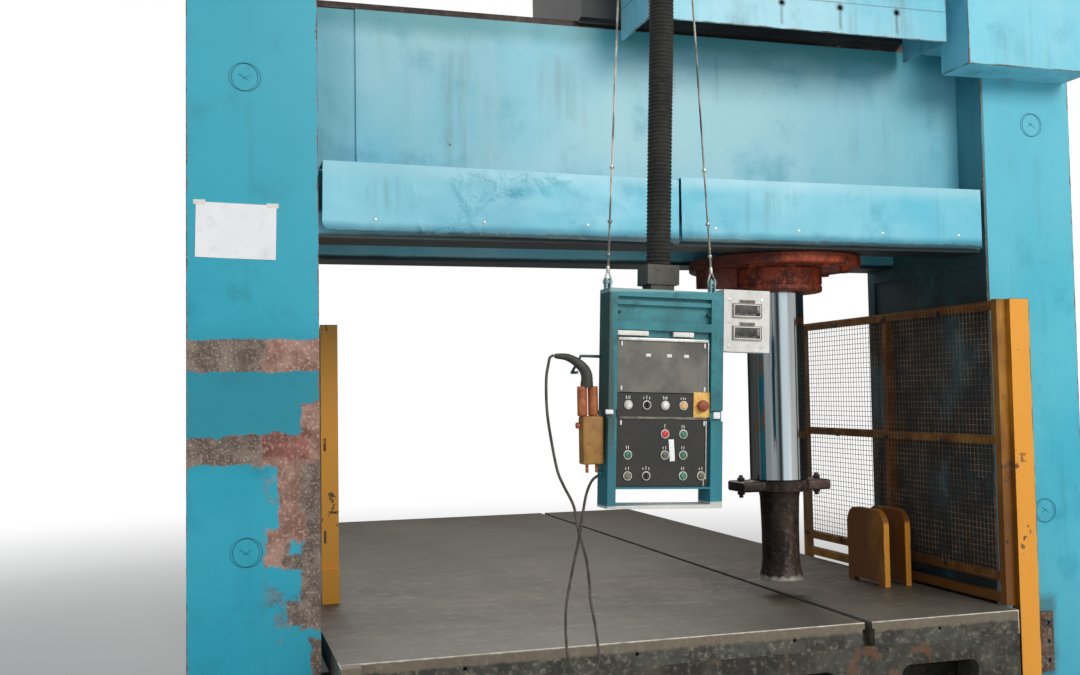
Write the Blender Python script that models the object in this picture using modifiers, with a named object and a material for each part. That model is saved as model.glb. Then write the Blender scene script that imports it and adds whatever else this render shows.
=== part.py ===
"""Hydraulic portal press: two box columns, a crossbeam with a travelling cylinder head, a ram with a
punch, a slotted bed, mesh guards and a control pendant on a swinging boom.

Metres, +Z up. The front faces -Y. The origin is on the floor, midway between the columns.
"""
import math

import bmesh
import bpy
from mathutils import Matrix, Vector

for old in list(bpy.data.objects):
    bpy.data.objects.remove(old, do_unlink=True)

# Clearances
GAP = 0.0003
RUNNING = 0.001

# Columns and the clear width between them
CLEAR_WIDTH = 3.04
COLUMN_WIDTH = 0.49
COLUMN_DEPTH = 0.98
FRAME_HEIGHT = 3.15
SIDE_RECESS = 0.012
COLUMN_PLATE = 0.06
PLUG_RADIUS = 0.052
PLUG_HEIGHTS = (0.99, 2.795)
PLUG_FROM_OUTSIDE = 0.21

# Crossbeam: two girders with a slot between them, seen in section as a web on a foot
BEAM_UNDERSIDE = 2.19
WEB_THICKNESS = 0.08
SLOT_ROOM = 0.01
FOOT_HEIGHT = 0.10
FOOT_ROOM = 0.03
END_RECESS_WIDTH = 0.17
END_RECESS_DEPTH = 0.012
RAIL_WIDTH = 0.06
RAIL_HEIGHT = 0.03
RAIL_STOP = 0.22

# Sheet covers along the foot of the beam
COVER_SHEET = 0.004
COVER_HEIGHT = 0.272
COVER_RISE = 0.288
COVER_TOP = BEAM_UNDERSIDE + COVER_RISE
COVER_JOINT_X = -0.0075
COVER_JOINT = 0.011
COVER_LEFT_START = 0.018
COVER_CORNER = 0.035
COVER_SAG = math.radians(0.8)

# Lower crossbeam, buried between the bed's ribs
LOWER_BEAM_HEIGHT = 0.32
LOWER_BEAM_DEPTH = 0.78

# Bed
BED_TOP = 0.60
BED_PLATE = 0.10
LUG_WIDTH = 0.074
LUG_REACH = 0.06
BED_SIDE_ROOM = 0.04
BED_RIGHT_ROOM = 0.08
BED_FRONT = -0.727
BED_LENGTH = 4.737
RIB = 0.06
RIB_SPACING = 0.685
APRON = 0.05
WINDOW_WIDTH = 0.377
WINDOW_TOP = 0.41
WINDOW_FOOT = 0.08
WINDOW_CORNER = 0.04

# T-slot, and the girder that carries the bed's joint below it
SLOT_X = 0.6975
NECK_WIDTH = 0.036
NECK_DEPTH = 0.028
TEE_WIDTH = 0.058
TEE_DEPTH = 0.029
GIRDER_WIDTH = 0.255

# Stops that stand on the bed
STOP_X = 1.24
STOP_SPACING = 0.12
STOP_PLATE = 0.03
STOP_FRONT = -0.045
STOP_LENGTH = 0.325
STOP_HEIGHT = 0.37
STOP_CORNER = 0.075

# Ram and its cylinder
RAM_X = 0.6914
ROD_RADIUS = 0.135
ROD_FOOT = 1.142
BARREL_RADIUS = 0.235
BARREL_WALL = 0.05
BORE_RADIUS = BARREL_RADIUS - BARREL_WALL
FLANGE_REACH = 0.17
FLANGE_RADIUS = BARREL_RADIUS + FLANGE_REACH
FLANGE_THICKNESS = 0.05
GLAND_STEP = 0.01
GLAND_RADIUS = BARREL_RADIUS - GLAND_STEP
GLAND_HEIGHT = 0.108
SPIGOT_HEIGHT = 0.06
PISTON_HEIGHT = 0.16
PISTON_RISE = 0.08
PISTON_REST = BEAM_UNDERSIDE + PISTON_RISE
BARREL_TOP = 3.42
CAP_THICKNESS = 0.10
CLAMP_WIDTH = 0.46
CLAMP_DEPTH = 0.34
CLAMP_HEIGHT = 0.052
PUNCH_RADIUS = 0.0925
PUNCH_WAIST = 0.088
PUNCH_FOOT_RADIUS = 0.105
PUNCH_FOOT = 0.67

# Travelling head
HEAD_LEFT = -0.39
HEAD_RIGHT = 1.20
HEAD_OVERHANG = 0.055
HEAD_FRAME_TOP = 3.42
HEAD_TOP = 3.75
SHOE_LIP = 0.015
COVER_BOX_LEFT = -0.21
COVER_BOX_FRONT = -0.69
COVER_BOX_BOTTOM = 3.088
COVER_BOX_SHEET = 0.006

# Drive cabinet on the right column
CABINET_LEFT = 1.314
CABINET_RIGHT = 1.98
CABINET_SKIRT = 3.003
CABINET_REAR = 0.40

# Guards
GUARD_TUBE = 0.04
GUARD_X = 1.49
GUARD_TOP = 1.955
GUARD_FRONT = -0.64
GUARD_MID_Y = 0.275
GUARD_REAR_Y = 1.143
MID_RAIL_Z = 1.327
MESH_RAIL_Z = 0.72
KICK_RAIL_Z = 0.625
WIRE = 0.006
POST_WIDTH = 0.10
LEFT_POST_WIDTH = 0.08
LEFT_POST_X = -1.374
LEFT_POST_Y = 0.56
LEFT_POST_TOP = 1.911
LEFT_GUARD_LENGTH = 0.90
BRACKET_PLATE = 0.012

# Boom
BOOM_X = -1.77
BOOM_POST_RADIUS = 0.045
BOOM_HEIGHT = 3.90
BOOM_TUBE = 0.08
PIN_RADIUS = 0.008
PIN_HEIGHT = 3.84

# Pendant, in its own frame: u to the right of its middle, depth behind its face, v below its top
PENDANT_X = -0.519
PENDANT_FACE = -1.537
PENDANT_TOP = 1.896
PENDANT_ROLL = math.radians(2.0)
CASE_LEFT = -0.19
CASE_RIGHT = 0.205
CASE_DEPTH = 0.095
CASE_SHEET = 0.004
BUTTON_RADIUS = 0.011
BEZEL_RADIUS = 0.0150
BEZEL_HEIGHT = 0.004

parts = bpy.data.collections.new("hydraulic_press")
cutters = bpy.data.collections.new("cutters")
bpy.context.scene.collection.children.link(parts)
bpy.context.scene.collection.children.link(cutters)


def paint(name, colour, roughness, metallic=0.0):
    """A material, made once for each name."""
    if name in bpy.data.materials:
        return bpy.data.materials[name]
    made = bpy.data.materials.new(name)
    made.use_nodes = True
    shader = made.node_tree.nodes["Principled BSDF"]
    shader.inputs["Base Color"].default_value = (*colour, 1.0)
    shader.inputs["Roughness"].default_value = roughness
    shader.inputs["Metallic"].default_value = metallic
    return made


def teal():
    return paint("teal_paint", (0.045, 0.38, 0.50), 0.5)


def dark_teal():
    return paint("dark_teal_paint", (0.01, 0.20, 0.24), 0.5)


def black():
    return paint("black_paint", (0.012, 0.013, 0.015), 0.6)


def yellow():
    return paint("yellow_paint", (0.75, 0.42, 0.03), 0.5)


def steel():
    return paint("bed_steel", (0.20, 0.17, 0.14), 0.45, 0.8)


def chrome():
    return paint("chrome", (0.75, 0.76, 0.78), 0.12, 1.0)


def dark_steel():
    return paint("dark_steel", (0.07, 0.055, 0.05), 0.6, 0.6)


def primer():
    return paint("red_primer", (0.33, 0.07, 0.025), 0.75)


def rubber():
    return paint("black_rubber", (0.02, 0.02, 0.022), 0.7)


def plastic(name, colour):
    return paint(name, colour, 0.4)


def add_object(name, bm, finish):
    """Puts a bmesh into the scene as an object: a part if it has a finish, else a cutter."""
    mesh = bpy.data.meshes.new(name)
    bm.to_mesh(mesh)
    bm.free()
    made = bpy.data.objects.new(name, mesh)
    if finish:
        mesh.materials.append(finish)
        parts.objects.link(made)
    else:
        cutters.objects.link(made)
        hide(made)
    return made


def hide(helper):
    helper.hide_render = True
    helper.display_type = "WIRE"


def block(name, x, y, z, finish=None):
    """A box that spans from the first to the second value of x, y and z."""
    size = (x[1] - x[0], y[1] - y[0], z[1] - z[0])
    bm = bmesh.new()
    bmesh.ops.create_cube(bm, size=1.0, matrix=Matrix.Diagonal((*size, 1.0)))
    made = add_object(name, bm, finish)
    made.location = ((x[0] + x[1]) / 2, (y[0] + y[1]) / 2, (z[0] + z[1]) / 2)
    return made


def drum(name, radius, start, end, finish=None, sides=24, end_radius=None):
    """A cylinder, or a cone, from one point to another."""
    start = Vector(start)
    end = Vector(end)
    along = end - start
    bm = bmesh.new()
    bmesh.ops.create_cone(bm, cap_ends=True, segments=sides, radius1=radius,
                          radius2=radius if end_radius is None else end_radius, depth=along.length)
    made = add_object(name, bm, finish)
    made.location = (start + end) / 2
    made.rotation_mode = "QUATERNION"
    made.rotation_quaternion = along.to_track_quat("Z", "Y")
    smooth(made)
    return made


def smooth(piece):
    piece.data.shade_smooth()
    piece.data.set_sharp_from_angle(angle=math.radians(40))


def turned(name, profile, at, finish=None, sides=32, closed=False):
    """A profile of (radius, height) points turned about a vertical axis through at."""
    bm = bmesh.new()
    line = [bm.verts.new((radius, 0.0, height)) for radius, height in profile]
    for first, second in zip(line, line[1:]):
        bm.edges.new((first, second))
    if closed:
        bm.edges.new((line[-1], line[0]))
    made = add_object(name, bm, finish)
    made.location = at
    screw = made.modifiers.new("Turn", "SCREW")
    screw.steps = sides
    screw.render_steps = sides
    screw.use_merge_vertices = True
    screw.merge_threshold = 0.0001
    screw.use_smooth_shade = True
    return made


def cut(piece, *tools):
    boolean(piece, tools, "DIFFERENCE")
    return piece


def join(piece, *others):
    boolean(piece, others, "UNION")
    return piece


def boolean(piece, operands, operation):
    for operand in operands:
        step = piece.modifiers.new(operation.title(), "BOOLEAN")
        step.operation = operation
        step.solver = "EXACT"
        step.object = operand
        if operand.name not in cutters.objects:
            parts.objects.unlink(operand)
            cutters.objects.link(operand)
        hide(operand)


def bevel(piece, width, segments=1):
    step = piece.modifiers.new("Edges", "BEVEL")
    step.width = width
    step.segments = segments
    step.limit_method = "ANGLE"
    step.angle_limit = math.radians(50)
    return piece


def corner(centre_x, centre_y, radius, start, steps=5):
    """Points of a quarter circle that begins at the angle start, in degrees."""
    turns = [math.radians(start + 90.0 * step / steps) for step in range(steps + 1)]
    return [(centre_x + radius * math.cos(turn), centre_y + radius * math.sin(turn)) for turn in turns]


def rounded(width, height, radius, steps=5):
    """A rectangle about the origin with rounded corners, anticlockwise."""
    across = width / 2 - radius
    up = height / 2 - radius
    points = corner(across, up, radius, 0, steps)
    points += corner(-across, up, radius, 90, steps)
    points += corner(-across, -up, radius, 180, steps)
    points += corner(across, -up, radius, 270, steps)
    return points


def flat(name, points, thickness, at, finish=None, turn=(0.0, 0.0, 0.0)):
    """A flat outline with a thickness, centred on at. Turned by 90 degrees about X it stands upright."""
    curve = bpy.data.curves.new(name, "CURVE")
    curve.dimensions = "2D"
    curve.fill_mode = "BOTH"
    curve.extrude = thickness / 2
    line = curve.splines.new("POLY")
    line.points.add(len(points) - 1)
    for point, (x, y) in zip(line.points, points):
        point.co = (x, y, 0.0, 1.0)
    line.use_cyclic_u = True
    drawn = bpy.data.objects.new(name + "_outline", curve)
    drawn.location = at
    drawn.rotation_euler = turn
    return as_mesh(drawn, name, finish)


def as_mesh(drawn, name, finish):
    """Makes a curve object into a closed mesh object, in the same place."""
    parts.objects.link(drawn)
    bpy.context.view_layer.update()
    ready = drawn.evaluated_get(bpy.context.evaluated_depsgraph_get())
    mesh = bpy.data.meshes.new_from_object(ready)
    bm = bmesh.new()
    bm.from_mesh(mesh)
    bmesh.ops.remove_doubles(bm, verts=bm.verts, dist=0.00001)
    bmesh.ops.recalc_face_normals(bm, faces=bm.faces)
    bpy.data.meshes.remove(mesh)
    made = add_object(name, bm, finish)
    made.matrix_world = drawn.matrix_world.copy()
    bpy.data.objects.remove(drawn, do_unlink=True)
    return made


def tube(name, points, radius, finish, resolution=2, taper=None):
    """A round bar along a line of points, with filled caps. A taper gives each point's share of radius."""
    curve = bpy.data.curves.new(name, "CURVE")
    curve.dimensions = "3D"
    curve.bevel_depth = radius
    curve.bevel_resolution = resolution
    curve.use_fill_caps = True
    line = curve.splines.new("POLY")
    line.points.add(len(points) - 1)
    for number, (point, spot) in enumerate(zip(line.points, points)):
        point.co = (*spot, 1.0)
        point.radius = taper[number] if taper else 1.0
    drawn = bpy.data.objects.new(name + "_line", curve)
    made = as_mesh(drawn, name, finish)
    smooth(made)
    return made


def pivot(name, at):
    """An empty on a joint's axis, which carries the pieces that move with it."""
    made = bpy.data.objects.new(name, None)
    made.location = at
    made.empty_display_size = 0.1
    parts.objects.link(made)
    return made


def helpers_of(piece):
    """The objects that a piece's Booleans use, and theirs in turn."""
    found = []
    for step in piece.modifiers:
        if step.type == "BOOLEAN":
            found.append(step.object)
            found += helpers_of(step.object)
    return found


def carry(holder, *pieces):
    """Parents pieces that were modelled in place, with their cutters, to an unturned empty."""
    for piece in pieces:
        for item in [piece] + helpers_of(piece):
            item.location = item.location - holder.location
            item.parent = holder


def mount_on(holder, *pieces):
    """Parents pieces that were modelled in the empty's own frame, with their cutters."""
    for piece in pieces:
        for item in [piece] + helpers_of(piece):
            item.parent = holder


# Places worked out from the sizes above
UPRIGHT = (math.radians(90), 0.0, 0.0)
ALONG_X = (math.radians(90), 0.0, math.radians(90))
COLUMN_IN = CLEAR_WIDTH / 2
COLUMN_OUT = COLUMN_IN + COLUMN_WIDTH
COLUMN_FRONT = -COLUMN_DEPTH / 2
WEB_IN = BARREL_RADIUS + SLOT_ROOM
WEB_OUT = WEB_IN + WEB_THICKNESS
FOOT_OUT = -COLUMN_FRONT - FOOT_ROOM
RAIL_Y = WEB_IN + WEB_THICKNESS / 2
RAIL_TOP = FRAME_HEIGHT + GAP + RAIL_HEIGHT
HEAD_DEPTH = 2 * (RAIL_Y + RAIL_WIDTH / 2 + HEAD_OVERHANG)
BED_LEFT = -COLUMN_IN + BED_SIDE_ROOM
BED_RIGHT = COLUMN_IN - BED_RIGHT_ROOM
BED_REAR = BED_FRONT + BED_LENGTH
BED_UNDER = BED_TOP - BED_PLATE
BRIDGE_Y = LOWER_BEAM_DEPTH / 2 + 0.02
POST_RIGHT = GUARD_X - GUARD_TUBE / 2 + 0.01 + POST_WIDTH
POST_REAR = GUARD_FRONT + 0.001
POST_FLANGE = 0.006
BRIDGE_Z = LOWER_BEAM_HEIGHT + GAP


def plug_cutters(name, x, z):
    """A ring groove with a slanted slot in it, where a threaded plug sits flush in a plate."""
    groove = 0.004
    ring = [(PLUG_RADIUS, groove), (PLUG_RADIUS + groove, groove),
            (PLUG_RADIUS + groove, -groove), (PLUG_RADIUS, -groove)]
    circle = turned(name + "_ring", ring, (x, COLUMN_FRONT, z), sides=24, closed=True)
    circle.rotation_euler = UPRIGHT
    slot = block(name + "_slot", (x - 0.022, x + 0.022), (COLUMN_FRONT - groove, COLUMN_FRONT + groove),
                 (z - groove / 2, z + groove / 2))
    slot.rotation_euler = (0.0, math.radians(35), 0.0)
    return circle, slot


def column(name, side):
    inner = side * COLUMN_IN
    outer = side * COLUMN_OUT
    body = block(name, sorted((inner, outer)), (COLUMN_FRONT, -COLUMN_FRONT), (0.0, FRAME_HEIGHT), teal())
    plate = (COLUMN_FRONT + COLUMN_PLATE, -COLUMN_FRONT - COLUMN_PLATE)
    bay = (LOWER_BEAM_HEIGHT + COLUMN_PLATE, BEAM_UNDERSIDE - COLUMN_PLATE)
    inside = block(name + "_inside", (inner - SIDE_RECESS, inner + SIDE_RECESS), plate, bay)
    outside = block(name + "_outside", (outer - SIDE_RECESS, outer + SIDE_RECESS), plate,
                    (COLUMN_PLATE, FRAME_HEIGHT - COLUMN_PLATE))
    cut(body, inside, outside)
    for number, height in enumerate(PLUG_HEIGHTS):
        cut(body, *plug_cutters(f"{name}_plug_{number}", outer - side * PLUG_FROM_OUTSIDE, height))
    return body


def girder(name, side):
    """One half of the crossbeam, -1 for the front one: a web on a foot that reaches outwards."""
    top = FRAME_HEIGHT
    section = [(side * WEB_IN, BEAM_UNDERSIDE), (side * FOOT_OUT, BEAM_UNDERSIDE),
               (side * FOOT_OUT, BEAM_UNDERSIDE + FOOT_HEIGHT), (side * WEB_OUT, BEAM_UNDERSIDE + FOOT_HEIGHT),
               (side * WEB_OUT, top), (side * WEB_IN, top)]
    body = flat(name, section, CLEAR_WIDTH - 2 * GAP, (0.0, 0.0, 0.0), teal(), ALONG_X)
    face = side * WEB_OUT
    for end in (-1, 1):
        step = block(f"{name}_end_{end}", sorted((end * COLUMN_IN * 1.01, end * (COLUMN_IN - END_RECESS_WIDTH))),
                     (face - END_RECESS_DEPTH, face + END_RECESS_DEPTH),
                     (BEAM_UNDERSIDE + FOOT_HEIGHT + 0.001, top + 0.01))
        cut(body, step)
    return body


def rail(name, side):
    reach = COLUMN_IN - RAIL_STOP
    middle = side * RAIL_Y
    bar = block(name, (-COLUMN_IN, reach), (middle - RAIL_WIDTH / 2, middle + RAIL_WIDTH / 2),
                (FRAME_HEIGHT + GAP, RAIL_TOP), steel())
    return bevel(bar, 0.003)


def sheet_cover(name, x, side):
    """A folded sheet in front of the beam's foot: a face, and a top that runs back to the web."""
    width = x[1] - x[0]
    radius = COVER_CORNER if x[0] < COVER_JOINT_X else COVER_SHEET
    half = width / 2
    low = -COVER_HEIGHT / 2
    outline = corner(-half + radius, low + radius, radius, 180) + [(half, low), (half, -low), (-half, -low)]
    face_y = side * -COLUMN_FRONT
    middle = ((x[0] + x[1]) / 2, face_y - side * COVER_SHEET / 2, COVER_TOP - COVER_HEIGHT / 2)
    face = flat(name, outline, COVER_SHEET, middle, teal(), UPRIGHT)
    shelf = block(name + "_top", x, sorted((face_y, side * (WEB_OUT + GAP))),
                  (COVER_TOP - COVER_SHEET, COVER_TOP))
    return join(face, shelf)


def covers():
    start = -COLUMN_IN + COVER_LEFT_START
    left = sheet_cover("left_cover", (start, COVER_JOINT_X), -1)
    sheet_cover("right_cover", (COVER_JOINT_X + COVER_JOINT, COLUMN_IN - COVER_LEFT_START), -1)
    sheet_cover("rear_cover", (start, COLUMN_IN - COVER_LEFT_START), 1)
    hinge = pivot("left_cover_sag", (start, COLUMN_FRONT, COVER_TOP))
    carry(hinge, left)
    hinge.rotation_euler = (0.0, COVER_SAG, 0.0)
    hinge.location.z += 0.010


def frame():
    column("left_column", -1)
    column("right_column", 1)
    beam = block("lower_beam", (-COLUMN_IN + GAP, COLUMN_IN - GAP),
                 (-LOWER_BEAM_DEPTH / 2, LOWER_BEAM_DEPTH / 2), (0.0, LOWER_BEAM_HEIGHT), teal())
    bevel(beam, 0.008)
    for place, side in (("front", -1), ("rear", 1)):
        girder(place + "_girder", side)
        rail(place + "_rail", side)
    covers()


def rib(name, x, width):
    """An upright plate under the bed, bridging the lower beam."""
    return block(name, (x - width / 2, x + width / 2), (BED_FRONT + APRON + GAP, BED_REAR - APRON - GAP),
                 (0.0, BED_UNDER + 0.005))


def bridge(name):
    return block(name, (-COLUMN_IN, COLUMN_IN), (-BRIDGE_Y, BRIDGE_Y), (-0.01, BRIDGE_Z))


def window_places():
    """The middles of the windows in the apron: halfway between the ribs."""
    return [SLOT_X + RIB_SPACING * (step - 2.5) for step in range(4)]


def bed_plate(name, x, ribs, holes):
    """A bed plate with its ribs, undercut along the T-slot, with small lifting holes in its front edge."""
    plate = block(name, x, (BED_FRONT, BED_REAR), (BED_UNDER, BED_TOP), steel())
    for number, place in enumerate(ribs):
        join(plate, rib(f"{name}_rib_{number}", place, RIB))
    tee = block(name + "_tee", (SLOT_X - TEE_WIDTH / 2, SLOT_X + TEE_WIDTH / 2),
                (BED_FRONT - 0.01, BED_REAR + 0.01), (BED_UNDER - 0.01, BED_TOP - NECK_DEPTH))
    cut(plate, tee, bridge(name + "_bridge"))
    for number, place in enumerate(holes):
        middle = (BED_UNDER + BED_TOP) / 2
        cut(plate, drum(f"{name}_hole_{number}", 0.008, (place, BED_FRONT - 0.01, middle),
                        (place, BED_FRONT + 0.03, middle), sides=10))
    return plate


def apron(name, y, windows):
    """The plate that closes the bed's end under its top, with rounded windows."""
    wall = block(name, (BED_LEFT, BED_RIGHT), (y, y + APRON), (0.0, BED_UNDER - GAP), steel())
    for number, place in enumerate(windows):
        height = WINDOW_TOP - WINDOW_FOOT
        opening = flat(f"{name}_window_{number}", rounded(WINDOW_WIDTH, height, WINDOW_CORNER, 3), 3 * APRON,
                       (place, y + APRON / 2, WINDOW_FOOT + height / 2), None, UPRIGHT)
        cut(wall, opening)
    return wall


def slot_girder():
    """The box under the bed's joint. Its ridge is the floor of the T-slot."""
    top = BED_UNDER - GAP
    body = block("t_slot_girder", (SLOT_X - GIRDER_WIDTH / 2, SLOT_X + GIRDER_WIDTH / 2),
                 (BED_FRONT + APRON + GAP, BED_REAR - APRON - GAP), (0.0, top), steel())
    ridge = block("t_slot_ridge", (SLOT_X - TEE_WIDTH / 2 + GAP, SLOT_X + TEE_WIDTH / 2 - GAP),
                  (BED_FRONT + APRON + GAP, BED_REAR - APRON - GAP),
                  (top - 0.01, BED_TOP - NECK_DEPTH - TEE_DEPTH))
    join(body, ridge)
    cut(body, bridge("t_slot_bridge"))


def stop(name, x):
    """A stop on the bed: an upright plate with rounded shoulders, standing on two feet."""
    foot = 0.05
    arch = 0.018
    rear = STOP_LENGTH
    outline = [(0.0, 0.0), (foot, 0.0), (foot, arch), (rear - foot, arch), (rear - foot, 0.0), (rear, 0.0)]
    outline += corner(rear - STOP_CORNER, STOP_HEIGHT - STOP_CORNER, STOP_CORNER, 0)
    outline += corner(STOP_CORNER, STOP_HEIGHT - STOP_CORNER, STOP_CORNER, 90)
    return flat(name, outline, STOP_PLATE, (x, STOP_FRONT, BED_TOP + GAP), yellow(), ALONG_X)


def bed():
    half_neck = NECK_WIDTH / 2
    places = window_places()
    ribs = [SLOT_X - RIB_SPACING * step for step in (1, 2, 3)]
    left = bed_plate("bed_left", (BED_LEFT, SLOT_X - half_neck), ribs, places[:3])
    lug = block("bed_lug", (BED_LEFT, BED_LEFT + LUG_WIDTH), (BED_FRONT - LUG_REACH, BED_FRONT + 0.01),
                (BED_UNDER + 0.03, BED_TOP))
    join(left, lug)
    bed_plate("bed_right", (SLOT_X + half_neck, BED_RIGHT), [SLOT_X + RIB_SPACING], places[3:])
    slot_girder()
    apron("bed_apron_front", BED_FRONT, places)
    apron("bed_apron_rear", BED_REAR - APRON, [])
    stop("left_stop", STOP_X)
    stop("right_stop", STOP_X + STOP_SPACING)


def square_bar(name, x, y, z, finish=None):
    """A length of square tube: each of x, y and z is a middle, or a span along the bar."""
    half = GUARD_TUBE / 2
    spans = [value if isinstance(value, tuple) else (value - half, value + half) for value in (x, y, z)]
    return block(name, *spans, finish)


def lattice(name, x, y, z, across, up, finish):
    """Welded wire mesh in a plane across X, as a grid of bars round open cells."""
    bm = bmesh.new()
    bmesh.ops.create_grid(bm, x_segments=across, y_segments=up, size=0.5)
    bmesh.ops.scale(bm, vec=(y[1] - y[0], z[1] - z[0], 1.0), verts=bm.verts)
    bmesh.ops.inset_individual(bm, faces=bm.faces[:], thickness=WIRE / 2)
    cells = [face for face in bm.faces if is_cell(face)]
    bmesh.ops.delete(bm, geom=cells, context="FACES")
    made = add_object(name, bm, finish)
    made.location = (x, (y[0] + y[1]) / 2, (z[0] + z[1]) / 2)
    made.rotation_euler = ALONG_X
    thick = made.modifiers.new("Thickness", "SOLIDIFY")
    thick.thickness = WIRE
    thick.offset = 0.0
    return made


def is_cell(face):
    """True for the inner face that an inset leaves: it is far wider than a wire."""
    return min(edge.calc_length() for edge in face.edges) > 2 * WIRE


def right_guard():
    """A framed mesh along the right side: posts, rails, and a channel post in front of the column."""
    rails = (GUARD_FRONT, GUARD_REAR_Y)
    low = KICK_RAIL_Z - GUARD_TUBE / 2
    top = GUARD_TOP - GUARD_TUBE / 2
    body = square_bar("right_guard_frame", GUARD_X, rails, top, yellow())
    for number, height in enumerate((MID_RAIL_Z, MESH_RAIL_Z, KICK_RAIL_Z)):
        join(body, square_bar(f"right_rail_{number}", GUARD_X, rails, height))
    join(body, square_bar("right_mid_post", GUARD_X, GUARD_MID_Y, (low, GUARD_TOP - 0.001)))
    join(body, square_bar("right_rear_post", GUARD_X, GUARD_REAR_Y, (0.0, GUARD_TOP + 0.001)))
    inner = GUARD_X - GUARD_TUBE / 2
    post = block("right_front_post", (inner + 0.01, POST_RIGHT), (GUARD_FRONT - 0.05, POST_REAR),
                 (0.0, GUARD_TOP + 0.002))
    channel = block("right_front_channel", (inner + 0.01 + POST_FLANGE, POST_RIGHT - POST_FLANGE),
                    (GUARD_FRONT - 0.05 + POST_FLANGE, POST_REAR + 0.01), (-0.01, GUARD_TOP - 0.01))
    stile = block("right_front_stile", (inner - 0.037, inner + 0.011), (GUARD_FRONT - 0.02, GUARD_FRONT + 0.02),
                  (low, GUARD_TOP + 0.003))
    join(body, cut(post, channel), stile)
    face = inner - GAP - WIRE / 2
    lattice("right_guard_mesh", face, (GUARD_FRONT + 0.022, GUARD_REAR_Y + 0.01),
            (MESH_RAIL_Z - 0.01, GUARD_TOP - 0.01), 12, 6, paint("rusty_mesh", (0.10, 0.045, 0.02), 0.8, 0.3))


def left_guard():
    """The guard behind the left column: a slotted post on a base, and a mesh bay that runs back."""
    half = LEFT_POST_WIDTH / 2
    post = block("left_guard_frame", (LEFT_POST_X - half, LEFT_POST_X + half),
                 (LEFT_POST_Y - half / 2, LEFT_POST_Y + half / 2), (0.75, LEFT_POST_TOP), yellow())
    base = block("left_guard_base", (LEFT_POST_X - half, LEFT_POST_X + half),
                 (LEFT_POST_Y - half, LEFT_POST_Y + half), (BED_TOP + GAP, 0.76))
    join(post, base)
    reach = (LEFT_POST_Y, LEFT_POST_Y + LEFT_GUARD_LENGTH)
    for number, height in enumerate((LEFT_POST_TOP - GUARD_TUBE / 2 - 0.001, MID_RAIL_Z, MESH_RAIL_Z)):
        join(post, square_bar(f"left_rail_{number}", LEFT_POST_X, reach, height))
    join(post, square_bar("left_rear_post", LEFT_POST_X, reach[1], (BED_TOP + GAP, LEFT_POST_TOP)))
    for number, height in enumerate((0.909, 1.342)):
        slot = block(f"left_post_slot_{number}", (LEFT_POST_X - 0.03, LEFT_POST_X - 0.018),
                     (LEFT_POST_Y - half, LEFT_POST_Y + half), (height - 0.03, height + 0.03))
        cut(post, slot)
    lattice("left_guard_mesh", LEFT_POST_X + GUARD_TUBE / 2 + GAP + WIRE / 2, (LEFT_POST_Y + half + 0.005, reach[1]),
            (MESH_RAIL_Z, LEFT_POST_TOP - 0.01), 6, 6, paint("rusty_mesh", (0.10, 0.045, 0.02), 0.8, 0.3))


def guard_bracket():
    """A bent plate with three holes on the right column's front, which holds the guard's front post."""
    left = POST_RIGHT - BRACKET_PLATE
    right = left + 0.24
    face = COLUMN_FRONT - GAP
    z = (0.26, 0.53)
    plate = block("guard_bracket", (left, right), (face - BRACKET_PLATE, face), z,
                  paint("rust", (0.16, 0.07, 0.04), 0.85, 0.2))
    leg = block("guard_bracket_leg", (left, left + BRACKET_PLATE), (POST_REAR + GAP, face - 0.001),
                (z[0] + 0.001, z[1] - 0.001))
    join(plate, leg)
    for number, height in enumerate((0.31, 0.395, 0.48)):
        cut(plate, drum(f"guard_bracket_hole_{number}", 0.011, (right - 0.03, face - 0.05, height),
                        (right - 0.03, face + 0.05, height), sides=12))


def guards():
    right_guard()
    left_guard()
    guard_bracket()


FLANGE_TOP = BEAM_UNDERSIDE - GAP
GLAND_TOP = FLANGE_TOP - FLANGE_THICKNESS - GAP
COLLAR_RADIUS = BARREL_RADIUS + 0.055
COLLAR_HEIGHT = 0.06
CLAMP_TOP = ROD_FOOT
PUNCH_TOP = CLAMP_TOP - CLAMP_HEIGHT - GAP
ROUND = 32


def bore(name, radius, low, high):
    """A cutter for a round hole on the ram's axis."""
    return turned(name, [(0.0, high), (radius, high), (radius, low), (0.0, low)], (RAM_X, 0.0, 0.0), sides=ROUND)


def head_frame():
    """The carriage: a thick plate on the two rails, with lips outside them, that holds the cylinder."""
    bottom = RAIL_TOP + GAP
    half = HEAD_DEPTH / 2
    body = block("head_frame", (HEAD_LEFT, HEAD_RIGHT), (-half, half), (bottom, HEAD_FRAME_TOP), black())
    for side in (-1, 1):
        edge = side * (RAIL_Y + RAIL_WIDTH / 2 + RUNNING)
        lip = block(f"head_lip_{side}", (HEAD_LEFT, HEAD_RIGHT), sorted((edge, edge + side * 0.02)),
                    (bottom - SHOE_LIP, bottom + 0.01))
        join(body, lip)
    seat = HEAD_FRAME_TOP - COLLAR_HEIGHT - GAP
    cut(body, bore("head_bore", BARREL_RADIUS + GAP, bottom - 0.05, HEAD_FRAME_TOP + 0.05))
    cut(body, bore("head_seat", COLLAR_RADIUS + GAP, seat, HEAD_FRAME_TOP + 0.05))
    return body


def head_housing():
    """The dark sheet housing over the carriage, open underneath."""
    wall = COVER_BOX_SHEET
    half = HEAD_DEPTH / 2
    bottom = HEAD_FRAME_TOP + GAP
    body = block("head_housing", (HEAD_LEFT, HEAD_RIGHT), (-half, half), (bottom, HEAD_TOP), black())
    room = block("head_room", (HEAD_LEFT + wall, HEAD_RIGHT - wall), (wall - half, half - wall),
                 (bottom - 0.01, HEAD_TOP - wall))
    return cut(body, room)


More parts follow.
